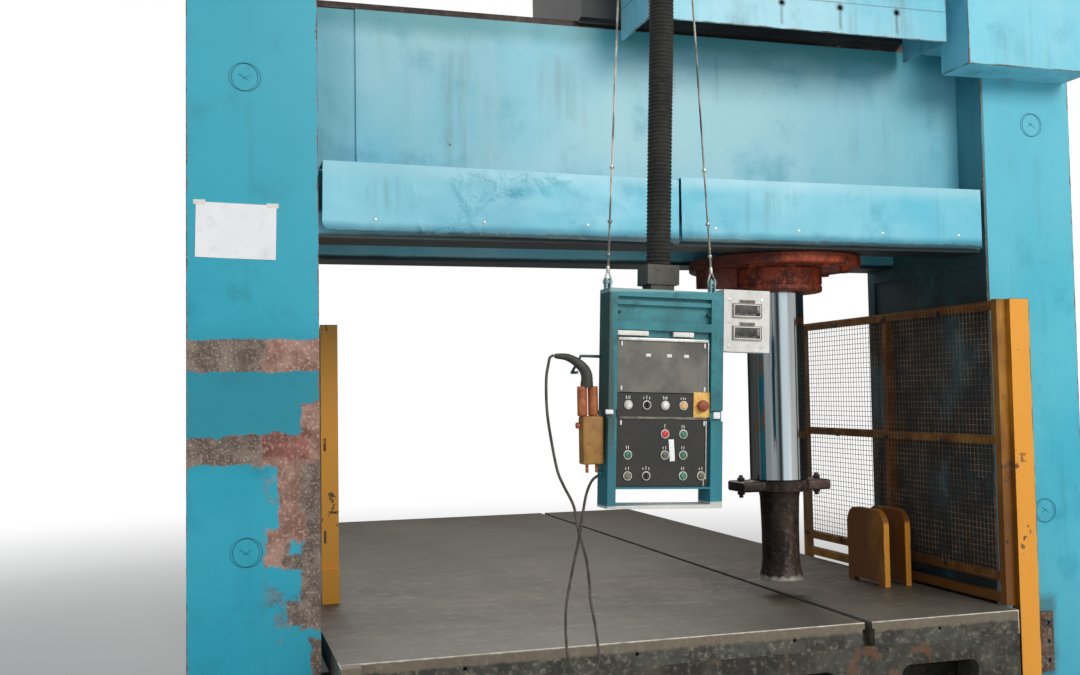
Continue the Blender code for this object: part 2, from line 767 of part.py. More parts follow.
def head_cover():
    """The teal box on the front of the head, open at the back and below."""
    wall = COVER_BOX_SHEET
    rear = -HEAD_DEPTH / 2 - GAP
    body = block("head_cover", (COVER_BOX_LEFT, HEAD_RIGHT), (COVER_BOX_FRONT, rear),
                 (COVER_BOX_BOTTOM, HEAD_TOP), teal())
    room = block("head_cover_room", (COVER_BOX_LEFT + wall, HEAD_RIGHT - wall),
                 (COVER_BOX_FRONT + wall, rear + 0.01), (COVER_BOX_BOTTOM - 0.01, HEAD_TOP - wall))
    cut(body, room)
    for step in (-1, 0, 1):
        x = RAM_X - 0.02 + 0.278 * step
        hole = drum(f"head_cover_hole_{step}", 0.010, (x, COVER_BOX_FRONT - 0.01, 3.20),
                    (x, COVER_BOX_FRONT + 0.02, 3.20), sides=10)
        cut(body, hole)
    return body


def barrel():
    """The cylinder: a thick tube with a closed top and a collar that hangs in the carriage."""
    foot = GLAND_TOP + GAP
    under_collar = BARREL_TOP - COLLAR_HEIGHT
    profile = [(0.0, BARREL_TOP), (COLLAR_RADIUS, BARREL_TOP), (COLLAR_RADIUS, under_collar),
               (BARREL_RADIUS, under_collar), (BARREL_RADIUS, foot), (BORE_RADIUS, foot),
               (BORE_RADIUS, BARREL_TOP - CAP_THICKNESS), (0.0, BARREL_TOP - CAP_THICKNESS)]
    return turned("cylinder_barrel", profile, (RAM_X, 0.0, 0.0), dark_steel(), ROUND)


def flange():
    """The ring under the beam's feet, with hexagon bolts below it."""
    low = FLANGE_TOP - FLANGE_THICKNESS
    inner = BARREL_RADIUS + GAP
    profile = [(inner, FLANGE_TOP), (FLANGE_RADIUS, FLANGE_TOP), (FLANGE_RADIUS, low), (inner, low)]
    ring = turned("cylinder_flange", profile, (RAM_X, 0.0, 0.0), primer(), ROUND, closed=True)
    count = 12
    pitch = (FLANGE_RADIUS + BARREL_RADIUS) / 2 + 0.02
    for number in range(count):
        turn = math.tau * (number + 0.5) / count
        x = RAM_X + pitch * math.cos(turn)
        y = pitch * math.sin(turn)
        join(ring, drum(f"flange_bolt_{number}", 0.022, (x, y, low - 0.014), (x, y, low + 0.01), sides=6))
    return ring


def gland():
    """The ring round the rod, with a spigot up inside the barrel."""
    inner = ROD_RADIUS + GAP
    spigot = BORE_RADIUS - GAP
    low = GLAND_TOP - GLAND_HEIGHT
    top = GLAND_TOP + SPIGOT_HEIGHT
    profile = [(inner, top), (spigot, top), (spigot, GLAND_TOP), (GLAND_RADIUS, GLAND_TOP),
               (GLAND_RADIUS, low), (inner, low)]
    return turned("gland_ring", profile, (RAM_X, 0.0, 0.0), primer(), ROUND, closed=True)


def port_block():
    """The oil port's block, under the flange and against the gland."""
    right = RAM_X - GLAND_RADIUS - GAP
    return block("port_block", (right - 0.155, right), (-0.06, 0.06), (GLAND_TOP - 0.085, GLAND_TOP), primer())


def rod():
    piston = BORE_RADIUS - GAP
    top = PISTON_REST + PISTON_HEIGHT
    foot = ROD_FOOT + GAP
    profile = [(0.0, top), (piston, top), (piston, PISTON_REST), (ROD_RADIUS, PISTON_REST),
               (ROD_RADIUS, foot), (0.0, foot)]
    return turned("piston_rod", profile, (RAM_X, 0.0, 0.0), chrome(), ROUND)


def clamp():
    """The plate under the rod: a disc with two arms, and a bolt with nuts through each arm."""
    low = CLAMP_TOP - CLAMP_HEIGHT
    radius = ROD_RADIUS + 0.008
    plate = turned("clamp_plate", [(0.0, CLAMP_TOP), (radius, CLAMP_TOP), (radius, low), (0.0, low)],
                   (RAM_X, 0.0, 0.0), dark_steel(), ROUND)
    half = CLAMP_WIDTH / 2
    arms = block("clamp_arms", (RAM_X - half, RAM_X + half), (-CLAMP_DEPTH / 4, CLAMP_DEPTH / 4),
                 (low + 0.002, CLAMP_TOP - 0.002))
    join(plate, arms)
    for side in (-1, 1):
        x = RAM_X + side * (half - 0.03)
        join(plate, drum(f"clamp_bolt_{side}", 0.010, (x, 0.0, low - 0.028), (x, 0.0, CLAMP_TOP + 0.026), sides=8))
        join(plate, drum(f"clamp_nuts_{side}", 0.018, (x, 0.0, low - 0.014), (x, 0.0, CLAMP_TOP + 0.014), sides=6))
    return plate


def punch():
    """The tool: a slightly waisted bar with a flared, worn foot."""
    height = PUNCH_TOP - PUNCH_FOOT
    profile = [(0.0, PUNCH_TOP), (PUNCH_RADIUS + 0.006, PUNCH_TOP), (PUNCH_RADIUS, PUNCH_TOP - 0.03),
               (PUNCH_WAIST, PUNCH_TOP - 0.45 * height), (PUNCH_WAIST, PUNCH_TOP - 0.75 * height),
               (PUNCH_RADIUS, PUNCH_FOOT + 0.06), (PUNCH_FOOT_RADIUS, PUNCH_FOOT + 0.012),
               (PUNCH_FOOT_RADIUS - 0.003, PUNCH_FOOT), (0.0, PUNCH_FOOT)]
    return turned("punch", profile, (RAM_X, 0.0, 0.0), dark_steel(), ROUND)


def head():
    """The travelling head, and the ram that moves up and down in it."""
    carriage = pivot("carriage_axis", (RAM_X, 0.0, RAIL_TOP))
    carry(carriage, head_frame(), head_housing(), head_cover(), barrel(), flange(), gland(), port_block())
    ram = pivot("ram_axis", (RAM_X, 0.0, ROD_FOOT))
    carry(ram, rod(), clamp(), punch())
    ram.location = ram.location - carriage.location
    ram.parent = carriage


def cabinet():
    """The drive's cabinet on the right column, with a skirt that hangs in front of it."""
    body = block("drive_cabinet", (CABINET_LEFT, CABINET_RIGHT), (COVER_BOX_FRONT, CABINET_REAR),
                 (FRAME_HEIGHT + GAP, HEAD_TOP), teal())
    skirt = block("cabinet_skirt", (CABINET_LEFT, CABINET_RIGHT), (COVER_BOX_FRONT, COLUMN_FRONT - GAP),
                  (CABINET_SKIRT, FRAME_HEIGHT + 0.01))
    return join(body, skirt)


PENDANT_Y = PENDANT_FACE + CASE_DEPTH / 2
ROPE_TOP = (-0.588, -0.427)
ROPE_FOOT = (-0.700, -0.334)
LUG_RISE = 0.029
ROPE_FOOT_HEIGHT = PENDANT_TOP + LUG_RISE
ROPE_RADIUS = 0.003
EYE_RADIUS = 0.016
EYE_WIDTH = 0.008
HANG_X = (ROPE_TOP[0] + ROPE_TOP[1]) / 2
COLLAR_Z = 3.79
SLEEVE_RADIUS = 0.07
CONDUIT_RADIUS = 0.04
CUP_CLEARANCE = 0.016
CUP_TOP = 3.80
CUP_FOOT = 3.745


def boom_post():
    """The post on the left column: a round foot, a collar that carries the sleeve, and a journal."""
    foot = FRAME_HEIGHT + GAP
    base = foot + 0.02
    top = BOOM_HEIGHT + 0.09
    profile = [(0.0, top), (BOOM_POST_RADIUS, top), (BOOM_POST_RADIUS, COLLAR_Z), (SLEEVE_RADIUS, COLLAR_Z),
               (SLEEVE_RADIUS, COLLAR_Z - 0.02), (0.055, COLLAR_Z - 0.02), (0.055, base), (0.13, base),
               (0.13, foot), (0.0, foot)]
    return turned("boom_post", profile, (BOOM_X, 0.0, 0.0), teal(), 24)


def boom_arm():
    """The arm: a sleeve on the post, a box tube, and a crossbar whose pin carries the two ropes."""
    inner = BOOM_POST_RADIUS + RUNNING
    low = COLLAR_Z + GAP
    high = BOOM_HEIGHT + 0.07
    sleeve = [(inner, high), (SLEEVE_RADIUS, high), (SLEEVE_RADIUS, low), (inner, low)]
    body = turned("boom_arm", sleeve, (BOOM_X, 0.0, 0.0), teal(), 24, closed=True)
    reach = Vector((HANG_X - BOOM_X, PENDANT_Y))
    heading = math.atan2(reach.y, reach.x)
    start = (SLEEVE_RADIUS + BOOM_POST_RADIUS) / 2
    half = BOOM_TUBE / 2
    arm = block("boom_tube", (-(reach.length - start) / 2, (reach.length - start) / 2), (-half, half),
                (BOOM_HEIGHT - half, BOOM_HEIGHT + half))
    middle = (reach.length + start) / 2
    arm.location.x = BOOM_X + middle * math.cos(heading)
    arm.location.y = middle * math.sin(heading)
    arm.rotation_euler = (0.0, 0.0, heading)
    join(body, arm)
    join(body, *crossbar())
    return body


def crossbar():
    """The bar at the arm's end, its four cheeks, the pin through them, and the conduit's cup."""
    bar = block("boom_crossbar", (HANG_X - 0.125, HANG_X + 0.125), (PENDANT_Y - 0.03, PENDANT_Y + 0.03),
                (BOOM_HEIGHT - 0.035, BOOM_HEIGHT + 0.035))
    pieces = [bar]
    for number, x in enumerate(ROPE_TOP):
        for side in (-1, 1):
            near = x + side * (EYE_WIDTH / 2 + RUNNING)
            pieces.append(block(f"boom_cheek_{number}_{side}", sorted((near, near + side * 0.006)),
                                (PENDANT_Y - 0.02, PENDANT_Y + 0.02), (PIN_HEIGHT - 0.02, BOOM_HEIGHT)))
    pieces.append(drum("boom_pin", PIN_RADIUS, (ROPE_TOP[0] - 0.02, PENDANT_Y, PIN_HEIGHT),
                       (ROPE_TOP[1] + 0.02, PENDANT_Y, PIN_HEIGHT), sides=16))
    inner = CONDUIT_RADIUS + CUP_CLEARANCE
    cup = [(0.0, BOOM_HEIGHT), (0.03, BOOM_HEIGHT), (0.03, CUP_TOP + 0.01), (inner + 0.008, CUP_TOP),
           (inner + 0.008, CUP_FOOT), (inner, CUP_FOOT), (inner, CUP_TOP - 0.008), (0.0, CUP_TOP - 0.008)]
    pieces.append(turned("conduit_cup", cup, (HANG_X, PENDANT_Y, 0.0), sides=16))
    return pieces


def eye(name, x, z, bore_radius):
    """A ring across X, as a thimble at a rope's end."""
    ring = drum(name, EYE_RADIUS, (x - EYE_WIDTH / 2, PENDANT_Y, z), (x + EYE_WIDTH / 2, PENDANT_Y, z), sides=16)
    hole = drum(name + "_bore", bore_radius, (x - EYE_WIDTH, PENDANT_Y, z), (x + EYE_WIDTH, PENDANT_Y, z), sides=16)
    return ring, hole


def rope(name, top_x, foot_x):
    """A wire rope with a thimble at each end and a crimped clip above the lower one."""
    foot = Vector((foot_x, PENDANT_Y, ROPE_FOOT_HEIGHT))
    top = Vector((top_x, PENDANT_Y, PIN_HEIGHT))
    along = (top - foot).normalized()
    inset = (EYE_RADIUS + PIN_RADIUS + GAP) / 2
    body = drum(name, ROPE_RADIUS, foot + along * inset, top - along * inset,
                paint("wire_rope", (0.45, 0.44, 0.41), 0.4, 0.8), sides=8)
    holes = []
    for place, x, z in (("top", top_x, PIN_HEIGHT), ("foot", foot_x, ROPE_FOOT_HEIGHT)):
        ring, hole = eye(f"{name}_{place}", x, z, PIN_RADIUS + GAP)
        join(body, ring)
        holes.append(hole)
    join(body, drum(name + "_clip", 0.007, foot + along * 0.07, foot + along * 0.09, sides=8))
    return cut(body, *holes)


CASE_FULL = 0.70
PANEL_LEFT = -0.162
PANEL_RIGHT = 0.163
HOOD_RECESS = (-0.105, -0.025)
PANEL_RECESS = (-0.632, -0.132)
BOTTOM_GAP = (-0.688, -0.638)
LEDGE_DEPTH = 0.0153
LEDGE_WIDTH = 0.012
PANEL_SHEET = 0.003
PANEL_FACE = LEDGE_DEPTH - GAP - PANEL_SHEET
BUTTON_FRONT = PANEL_FACE - BEZEL_HEIGHT - 0.005
BUTTON_REAR = PANEL_FACE + 0.022
FIRST_COLUMN = -0.120
COLUMN_PITCH = 0.0635
ROWS = (-0.371, -0.4625, -0.530, -0.5965)
UPPER_PANEL = (-0.412, -0.333)
LOWER_PANEL = (-0.631, -0.4145)
DISPLAY = (-0.3305, -0.160)
COLLAR_U = -0.007
COLLAR_WIDTH = 0.109
COLLAR_FOOT = 0.018
COLLAR_TOP = 0.082
METER_BOX_WIDTH = 0.165
METER_BOX_DEPTH = 0.06
METER_BOX_TOP = 0.012
METER_BOX_FOOT = -0.192
CORD_RADIUS = 0.0045
CORD_GLAND_W = -0.590
HANDSET_Y = -1.49
GRIP_RADIUS = 0.0165
GRIP_TOP = 1.592
BOX_TOP = 1.496
HANDSET_BOX_FOOT = 1.342

# The boot's middle line, from the handset to its tip, and the cord's, from there to the pendant
BOOT_ROUTE = ((-0.7775, 1.5860), (-0.7780, 1.628), (-0.7970, 1.657), (-0.8370, 1.6815), (-0.8806, 1.6874))
BOOT_RADII = (0.0210, 0.0195, 0.0165, 0.0120, 0.0080)
CORD_ROUTE = (
    (-0.8811, -1.490, 1.6875), (-0.8892, -1.490, 1.6886), (-0.8985, -1.490, 1.6830), (-0.9045, -1.491, 1.6600),
    (-0.9125, -1.492, 1.6120),
    (-0.9120, -1.493, 1.5170), (-0.9000, -1.494, 1.4230), (-0.8820, -1.495, 1.3280), (-0.8630, -1.496, 1.2800),
    (-0.8310, -1.496, 1.2160), (-0.8190, -1.497, 1.1530), (-0.8060, -1.498, 1.0990), (-0.7910, -1.498, 1.0420),
    (-0.7820, -1.497, 0.9630), (-0.7800, -1.496, 0.9160), (-0.7680, -1.495, 0.8520), (-0.7590, -1.494, 0.7890),
    (-0.7540, -1.492, 0.7300), (-0.7730, -1.490, 0.6920), (-0.8120, -1.487, 0.6860), (-0.8480, -1.484, 0.7250),
    (-0.8580, -1.482, 0.7970), (-0.8560, -1.480, 0.8900), (-0.8420, -1.479, 0.9670), (-0.8240, -1.478, 1.0440),
    (-0.8090, -1.478, 1.1050), (-0.7980, -1.479, 1.1680), (-0.7830, -1.482, 1.2460), (-0.7650, -1.486, 1.2890),
    (-0.7449, -1.4895, 1.3059),
)


def hung(x, z):
    """A place in the pendant's own frame, from its x and z in the world."""
    across = x - PENDANT_X
    up = z - PENDANT_TOP
    turn = PENDANT_ROLL
    return (across * math.cos(turn) - up * math.sin(turn), CASE_DEPTH / 2,
            across * math.sin(turn) + up * math.cos(turn))


def smooth_route(points, spacing):
    """Points at about the given spacing along a smooth curve through the route's own points."""
    line = [Vector(point) for point in points]
    line = [2 * line[0] - line[1]] + line + [2 * line[-1] - line[-2]]
    route = []
    for before, start, end, after in zip(line, line[1:], line[2:], line[3:]):
        steps = max(1, round((end - start).length / spacing))
        for step in range(steps):
            route.append(catmull_rom(before, start, end, after, step / steps))
    route.append(line[-2])
    return route


def catmull_rom(before, start, end, after, t):
    return 0.5 * (2 * start + (end - before) * t + (2 * before - 5 * start + 4 * end - after) * t ** 2
                  + (3 * start - before - 3 * end + after) * t ** 3)


def rope_lug(number, x):
    """Two cheeks and a pin on top of the case, for a rope's thimble."""
    u, depth, w = hung(x, ROPE_FOOT_HEIGHT)
    pieces = []
    for side in (-1, 1):
        near = u + side * (EYE_WIDTH / 2 + RUNNING)
        pieces.append(block(f"lug_{number}_{side}", sorted((near, near + side * 0.004)),
                            (depth - 0.012, depth + 0.012), (-0.002, w + 0.012)))
    reach = EYE_WIDTH / 2 + RUNNING + 0.003
    pieces.append(drum(f"lug_pin_{number}", PIN_RADIUS, hung(x - reach, ROPE_FOOT_HEIGHT),
                       hung(x + reach, ROPE_FOOT_HEIGHT), sides=16))
    return pieces


def pendant_case():
    """A sheet box with a hooded recess, side flanges with a break, and an open foot under a bar."""
    body = block("pendant_case", (CASE_LEFT, CASE_RIGHT), (0.0, CASE_DEPTH), (-CASE_FULL, 0.0), dark_teal())
    across = (PANEL_LEFT, PANEL_RIGHT)
    within = (PANEL_LEFT + LEDGE_WIDTH, PANEL_RIGHT - LEDGE_WIDTH)
    cut(body,
        block("hood_recess", across, (-0.01, 0.020), HOOD_RECESS),
        block("panel_recess", across, (-0.01, LEDGE_DEPTH), PANEL_RECESS),
        block("case_room", within, (0.001, CASE_DEPTH - CASE_SHEET), (PANEL_RECESS[0] + 0.01, -0.17)),
        block("foot_gap", across, (-0.01, CASE_DEPTH + 0.01), BOTTOM_GAP),
        block("left_break", (CASE_LEFT - 0.01, PANEL_LEFT + 0.01), (-0.01, 0.012), (-0.413, -0.386)),
        block("right_break", (PANEL_RIGHT - 0.01, CASE_RIGHT + 0.01), (-0.01, 0.012), (-0.420, -0.386)))
    join(body, block("hood_bar", (PANEL_LEFT - 0.001, PANEL_RIGHT + 0.001), (0.004, 0.021), (-0.051, -0.037)))
    for number, x in enumerate(ROPE_FOOT):
        join(body, *rope_lug(number, x))
    grip_side = hung(-0.7410 + 0.0005, BOX_TOP)[0]
    join(body, block("left_latch", (grip_side, CASE_LEFT + 0.005), (0.040, 0.056), (-0.405, -0.391)))
    join(body, block("right_latch", (PANEL_RIGHT - 0.001, PANEL_RIGHT + 0.02), (0.004, 0.013), (-0.413, -0.393)))
    gland = drum("cord_gland", 0.009, (CASE_LEFT + 0.001, CASE_DEPTH / 2, CORD_GLAND_W),
                 (CASE_LEFT - 0.014, CASE_DEPTH / 2, CORD_GLAND_W), sides=12)
    join(body, gland, hook())
    return body


def hook():
    """The bent arm on the case's side, whose peg lies under the bend of the handset's boot."""
    peg = hung(-0.8170, 1.6340)
    elbow = hung(-0.785, 1.688)
    behind = 0.078
    route = [(peg[0], 0.022, peg[2]), (peg[0], behind, peg[2]), (elbow[0], behind, elbow[2]),
             (CASE_LEFT + 0.002, behind, elbow[2])]
    return tube("boot_hook", route, 0.005, None)


def display_panel():
    u = (PANEL_LEFT + 0.004, PANEL_RIGHT - 0.004)
    return block("display_panel", u, (PANEL_FACE, PANEL_FACE + PANEL_SHEET), DISPLAY,
                 paint("grey_glass", (0.07, 0.07, 0.075), 0.3))


def place(column, row):
    """The middle of a control, by its column and row on the panels, both counted from 0."""
    return FIRST_COLUMN + COLUMN_PITCH * column, ROWS[row]


def control_panel(name, span, spots):
    """A black plate with a hole and a raised bezel for each control."""
    u = (PANEL_LEFT + 0.004, PANEL_RIGHT - 0.004)
    body = block(name, u, (PANEL_FACE, PANEL_FACE + PANEL_SHEET), span, black())
    holes = []
    for number, (x, z) in enumerate(spots):
        join(body, drum(f"{name}_bezel_{number}", BEZEL_RADIUS, (x, PANEL_FACE + 0.001, z),
                        (x, PANEL_FACE - BEZEL_HEIGHT, z), sides=16))
        holes.append(drum(f"{name}_hole_{number}", BUTTON_RADIUS + GAP, (x, PANEL_FACE + 0.01, z),
                          (x, PANEL_FACE - 0.01, z), sides=16))
    return cut(body, *holes)


def button(name, spot, colour):
    x, z = spot
    return drum(name, BUTTON_RADIUS, (x, BUTTON_REAR, z), (x, BUTTON_FRONT, z), plastic(name + "_cap", colour),
                sides=16)


def selector(name, spot):
    """A rotary switch: a round body with a bar to hold."""
    x, z = spot
    body = button(name, spot, (0.02, 0.02, 0.02))
    bar = block(name + "_bar", (x - 0.0025, x + 0.0025), (BUTTON_FRONT - 0.008, BUTTON_FRONT + 0.001),
                (z - 0.010, z + 0.010))
    return join(body, bar)


def emergency_stop(spot):
    """A red mushroom head on a stem."""
    x, z = spot
    body = button("emergency_stop", spot, (0.45, 0.02, 0.012))
    head = drum("stop_head", 0.019, (x, BUTTON_FRONT + 0.001, z), (x, BUTTON_FRONT - 0.016, z), sides=20,
                end_radius=0.016)
    return join(body, head)


def controls():
    """Fourteen controls, by column and row: eleven push-buttons, two selectors and one stop."""
    white = (0.75, 0.75, 0.72)
    amber = (0.65, 0.42, 0.10)
    red = (0.60, 0.03, 0.05)
    green = (0.05, 0.26, 0.13)
    grey = (0.10, 0.10, 0.075)
    return [
        button("white_button_left", place(0, 0), white),
        selector("upper_selector", place(1, 0)),
        button("white_button_right", place(2, 0), white),
        button("amber_button", place(3, 0), amber),
        emergency_stop(place(4, 0)),
        button("red_button", place(2, 1), red),
        button("green_button_upper", place(3, 1), green),
        button("green_button_left", place(0, 2), green),
        button("grey_button_middle", place(2, 2), grey),
        button("green_button_middle", place(3, 2), green),
        button("grey_button_left", place(0, 3), grey),
        selector("lower_selector", place(1, 3)),
        button("green_button_lower", place(3, 3), green),
        button("grey_button_right", place(4, 3), grey),
    ]


def meter_box():
    """The pale box on the case's right side, with two panel meters in raised frames."""
    left = CASE_RIGHT + GAP
    body = block("meter_box", (left, left + METER_BOX_WIDTH), (-0.002, METER_BOX_DEPTH),
                 (METER_BOX_FOOT, METER_BOX_TOP), plastic("pale_plastic", (0.72, 0.71, 0.68)))
    middle = left + METER_BOX_WIDTH / 2
    for number, top in enumerate((-0.032, -0.106)):
        frame_block = block(f"meter_{number}", (middle - 0.052, middle + 0.052), (-0.008, 0.0), (top - 0.047, top))
        window = block(f"meter_window_{number}", (middle - 0.046, middle + 0.046), (-0.02, -0.005),
                       (top - 0.041, top - 0.006))
        tab = block(f"meter_tab_{number}", (middle - 0.028, middle + 0.028), (-0.006, 0.0), (top - 0.001, top + 0.012))
        join(body, frame_block, tab)
        cut(body, window)
    return body


def collar():
    """The square junction on the case's top that the conduit comes out of."""
    depth = (0.001, CASE_DEPTH - 0.001)
    half = COLLAR_WIDTH / 2
    body = block("conduit_collar", (COLLAR_U - half, COLLAR_U + half), depth, (COLLAR_FOOT, COLLAR_TOP), black())
    neck = block("collar_neck", (COLLAR_U - 0.04, COLLAR_U + 0.04), (0.008, CASE_DEPTH - 0.008),
                 (GAP, COLLAR_FOOT + 0.001))
    return join(body, neck)


def conduit():
    """The conduit, from the collar up the pendant's slope and then upright into the boom's cup."""
    depth = CASE_DEPTH / 2
    top = CUP_TOP - 0.02
    route = [(COLLAR_U, depth, COLLAR_TOP + GAP), (COLLAR_U, depth, 0.5), (COLLAR_U, depth, 0.95),
             hung(HANG_X + 0.012, 3.20), hung(HANG_X, 3.50), hung(HANG_X, top - 0.1), hung(HANG_X, top)]
    return tube("conduit", smooth_route(route, 0.10), CONDUIT_RADIUS, rubber(), 2)


def handset():
    """Two grip tubes on a box, with a knob on its side and a curved boot for the cord on top."""
    right = -0.7410 - GRIP_RADIUS
    left = right - 2 * GRIP_RADIUS - 0.003
    body = block("handset", (-0.8010, -0.7300), (HANDSET_Y - 0.025, HANDSET_Y + 0.025),
                 (HANDSET_BOX_FOOT, BOX_TOP), paint("ochre_plastic", (0.50, 0.28, 0.06), 0.5))
    for number, x in enumerate((left, right)):
        join(body, drum(f"grip_{number}", GRIP_RADIUS, (x, HANDSET_Y, BOX_TOP - 0.01), (x, HANDSET_Y, GRIP_TOP),
                        sides=16))
    join(body, block("grip_web", (left, right), (HANDSET_Y - 0.008, HANDSET_Y + 0.008), (BOX_TOP - 0.01, GRIP_TOP - 0.002)))
    join(body, drum("handset_knob", 0.010, (-0.8005, HANDSET_Y, BOX_TOP - 0.03), (-0.8160, HANDSET_Y, BOX_TOP - 0.03),
                    sides=12))
    boot_line = [(x, HANDSET_Y, z) for x, z in BOOT_ROUTE]
    join(body, tube("boot", boot_line, BOOT_RADII[0], None, 2, [radius / BOOT_RADII[0] for radius in BOOT_RADII]))
    return body


def cord():
    return tube("handset_cord", smooth_route(CORD_ROUTE, 0.028), CORD_RADIUS, rubber(), 2)


def pendant():
    """The boom, and the pendant that hangs from its pin."""
    boom = pivot("boom_axis", (BOOM_X, 0.0, BOOM_HEIGHT))
    carry(boom, boom_arm())
    swing = pivot("pendant_axis", (HANG_X, PENDANT_Y, PIN_HEIGHT))
    carry(swing, rope("rope_left", ROPE_TOP[0], ROPE_FOOT[0]), rope("rope_right", ROPE_TOP[1], ROPE_FOOT[1]),
          handset(), cord())
    roll = pivot("pendant_roll", (PENDANT_X, PENDANT_FACE, PENDANT_TOP))
    upper = [place(column, 0) for column in range(5)]
    lower = [place(2, 1), place(3, 1), place(0, 2), place(2, 2), place(3, 2), place(0, 3), place(1, 3),
             place(3, 3), place(4, 3)]
    mount_on(roll, pendant_case(), display_panel(), control_panel("control_panel_upper", UPPER_PANEL, upper),
             control_panel("control_panel_lower", LOWER_PANEL, lower), meter_box(), collar(), conduit(), *controls())
    roll.rotation_euler = (0.0, PENDANT_ROLL, 0.0)
    roll.location = roll.location - swing.location
    roll.parent = swing
    swing.location = swing.location - boom.location
    swing.parent = boom


def main():
    frame()
    bed()
    guards()
    cabinet()
    head()
    boom_post()
    pendant()


main()
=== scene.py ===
import bpy
import bmesh
import math
import random
import numpy as np
from mathutils import Matrix, Vector


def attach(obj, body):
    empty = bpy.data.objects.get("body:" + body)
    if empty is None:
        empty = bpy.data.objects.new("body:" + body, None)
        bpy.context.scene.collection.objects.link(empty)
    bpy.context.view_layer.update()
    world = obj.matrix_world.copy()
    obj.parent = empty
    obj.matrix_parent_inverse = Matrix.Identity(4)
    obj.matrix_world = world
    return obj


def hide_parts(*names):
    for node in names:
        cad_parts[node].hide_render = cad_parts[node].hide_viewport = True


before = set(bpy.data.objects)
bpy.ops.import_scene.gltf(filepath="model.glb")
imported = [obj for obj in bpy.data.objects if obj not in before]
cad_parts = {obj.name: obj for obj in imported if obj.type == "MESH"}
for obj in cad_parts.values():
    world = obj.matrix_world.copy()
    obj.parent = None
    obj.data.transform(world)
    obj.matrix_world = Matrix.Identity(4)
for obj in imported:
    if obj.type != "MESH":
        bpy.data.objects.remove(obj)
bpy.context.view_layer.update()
print("frame loaded:", len(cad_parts), "nodes")


def colour(red, green, blue):
    # a screen colour from 0 to 255, as the shader wants it
    def linear(value):
        part = value / 255
        return part / 12.92 if part <= 0.04045 else ((part + 0.055) / 1.055) ** 2.4
    return (linear(red), linear(green), linear(blue), 1.0)


# ---- small helpers for modelling ----
def deselect():
    if bpy.context.object and bpy.context.object.mode != "OBJECT":
        bpy.ops.object.mode_set(mode="OBJECT")
    bpy.ops.object.select_all(action="DESELECT")


def only(obj):
    deselect()
    obj.select_set(True)
    bpy.context.view_layer.objects.active = obj
    return obj


def named(name):
    obj = bpy.context.object
    obj.name = name
    obj.data.name = name
    return obj


def linked(name, data):
    obj = bpy.data.objects.new(name, data)
    bpy.context.collection.objects.link(obj)
    return obj


def meshPiece(name, spots, edges, faces):
    mesh = bpy.data.meshes.new(name)
    mesh.from_pydata(spots, edges, faces)
    return linked(name, mesh)


def settle(obj):
    # the place goes into the mesh, so that the object itself sits at the origin
    only(obj)
    bpy.ops.object.transform_apply(location=True, rotation=True, scale=True)
    return obj


def applyAll(obj):
    only(obj)
    for modifier in list(obj.modifiers):
        bpy.ops.object.modifier_apply(modifier=modifier.name)
    return obj


def cubeAt(name, low, high):
    low, high = Vector(low), Vector(high)
    deselect()
    bpy.ops.mesh.primitive_cube_add(size=1, location=(low + high) / 2, scale=high - low)
    return settle(named(name))


def smooth(obj, angle=35):
    only(obj)
    bpy.ops.object.shade_smooth_by_angle(angle=math.radians(angle))
    return obj


def bevelled(obj, width, segments=2, angle=30):
    edge = obj.modifiers.new("softEdge", "BEVEL")
    edge.width = width
    edge.segments = segments
    edge.limit_method = "ANGLE"
    edge.angle_limit = math.radians(angle)
    return smooth(applyAll(obj))


def roundAt(name, radius, start, end, sides=32):
    start, end = Vector(start), Vector(end)
    line = end - start
    deselect()
    bpy.ops.mesh.primitive_cylinder_add(vertices=sides, radius=radius, depth=line.length,
                                        location=(start + end) / 2,
                                        rotation=line.to_track_quat("Z", "Y").to_euler())
    return settle(named(name))


def joined(name, objs):
    deselect()
    for obj in objs:
        obj.select_set(True)
    bpy.context.view_layer.objects.active = objs[0]
    if len(objs) > 1:
        bpy.ops.object.join()
    return named(name)


def opened(obj):
    only(obj)
    bpy.ops.object.mode_set(mode="EDIT")
    bpy.ops.mesh.select_all(action="SELECT")
    return obj


def turnedOut(obj):
    # an opened mesh is welded where corners meet, turned to face outward, and closed again
    bpy.ops.mesh.select_all(action="SELECT")
    bpy.ops.mesh.remove_doubles(threshold=0.00001)
    bpy.ops.mesh.normals_make_consistent(inside=False)
    bpy.ops.object.mode_set(mode="OBJECT")
    return obj


def spun(name, profile, centre, sides=64, axis=(0, 0, 1)):
    # a turned piece: the half outline goes round the axis with the spin tool
    centre = Vector(centre)
    turn = Vector(axis).to_track_quat("Z", "Y").to_matrix()
    obj = meshPiece(name, [centre + turn @ Vector((r, 0, h)) for r, h in profile],
                    [(k, k + 1) for k in range(len(profile) - 1)], [])
    opened(obj)
    bpy.ops.mesh.spin(steps=sides, angle=math.tau, center=centre, axis=Vector(axis), use_auto_merge=True)
    return smooth(turnedOut(obj), 30)


def finishPiece(obj, body, finish, *nodes, slot=None):
    obj.data.materials.clear()
    obj.data.materials.append(finishes[finish])
    if nodes:
        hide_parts(*nodes)
    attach(obj, body)
    return obj


# ---- small helpers for shaders ----
def put(tree, kind, wires=None, **settings):
    made = tree.nodes.new("ShaderNode" + kind)
    for key, value in settings.items():
        setattr(made, key, value)
    for socket, source in (wires or {}).items():
        if isinstance(source, bpy.types.NodeSocket):
            tree.links.new(source, made.inputs[socket])
        else:
            made.inputs[socket].default_value = source
    return made


def maths(tree, operation, first, second=0.0, clamp=False):
    return put(tree, "Math", {0: first, 1: second}, operation=operation, use_clamp=clamp).outputs[0]


def times(tree, first, second, clamp=False):
    return maths(tree, "MULTIPLY", first, second, clamp)


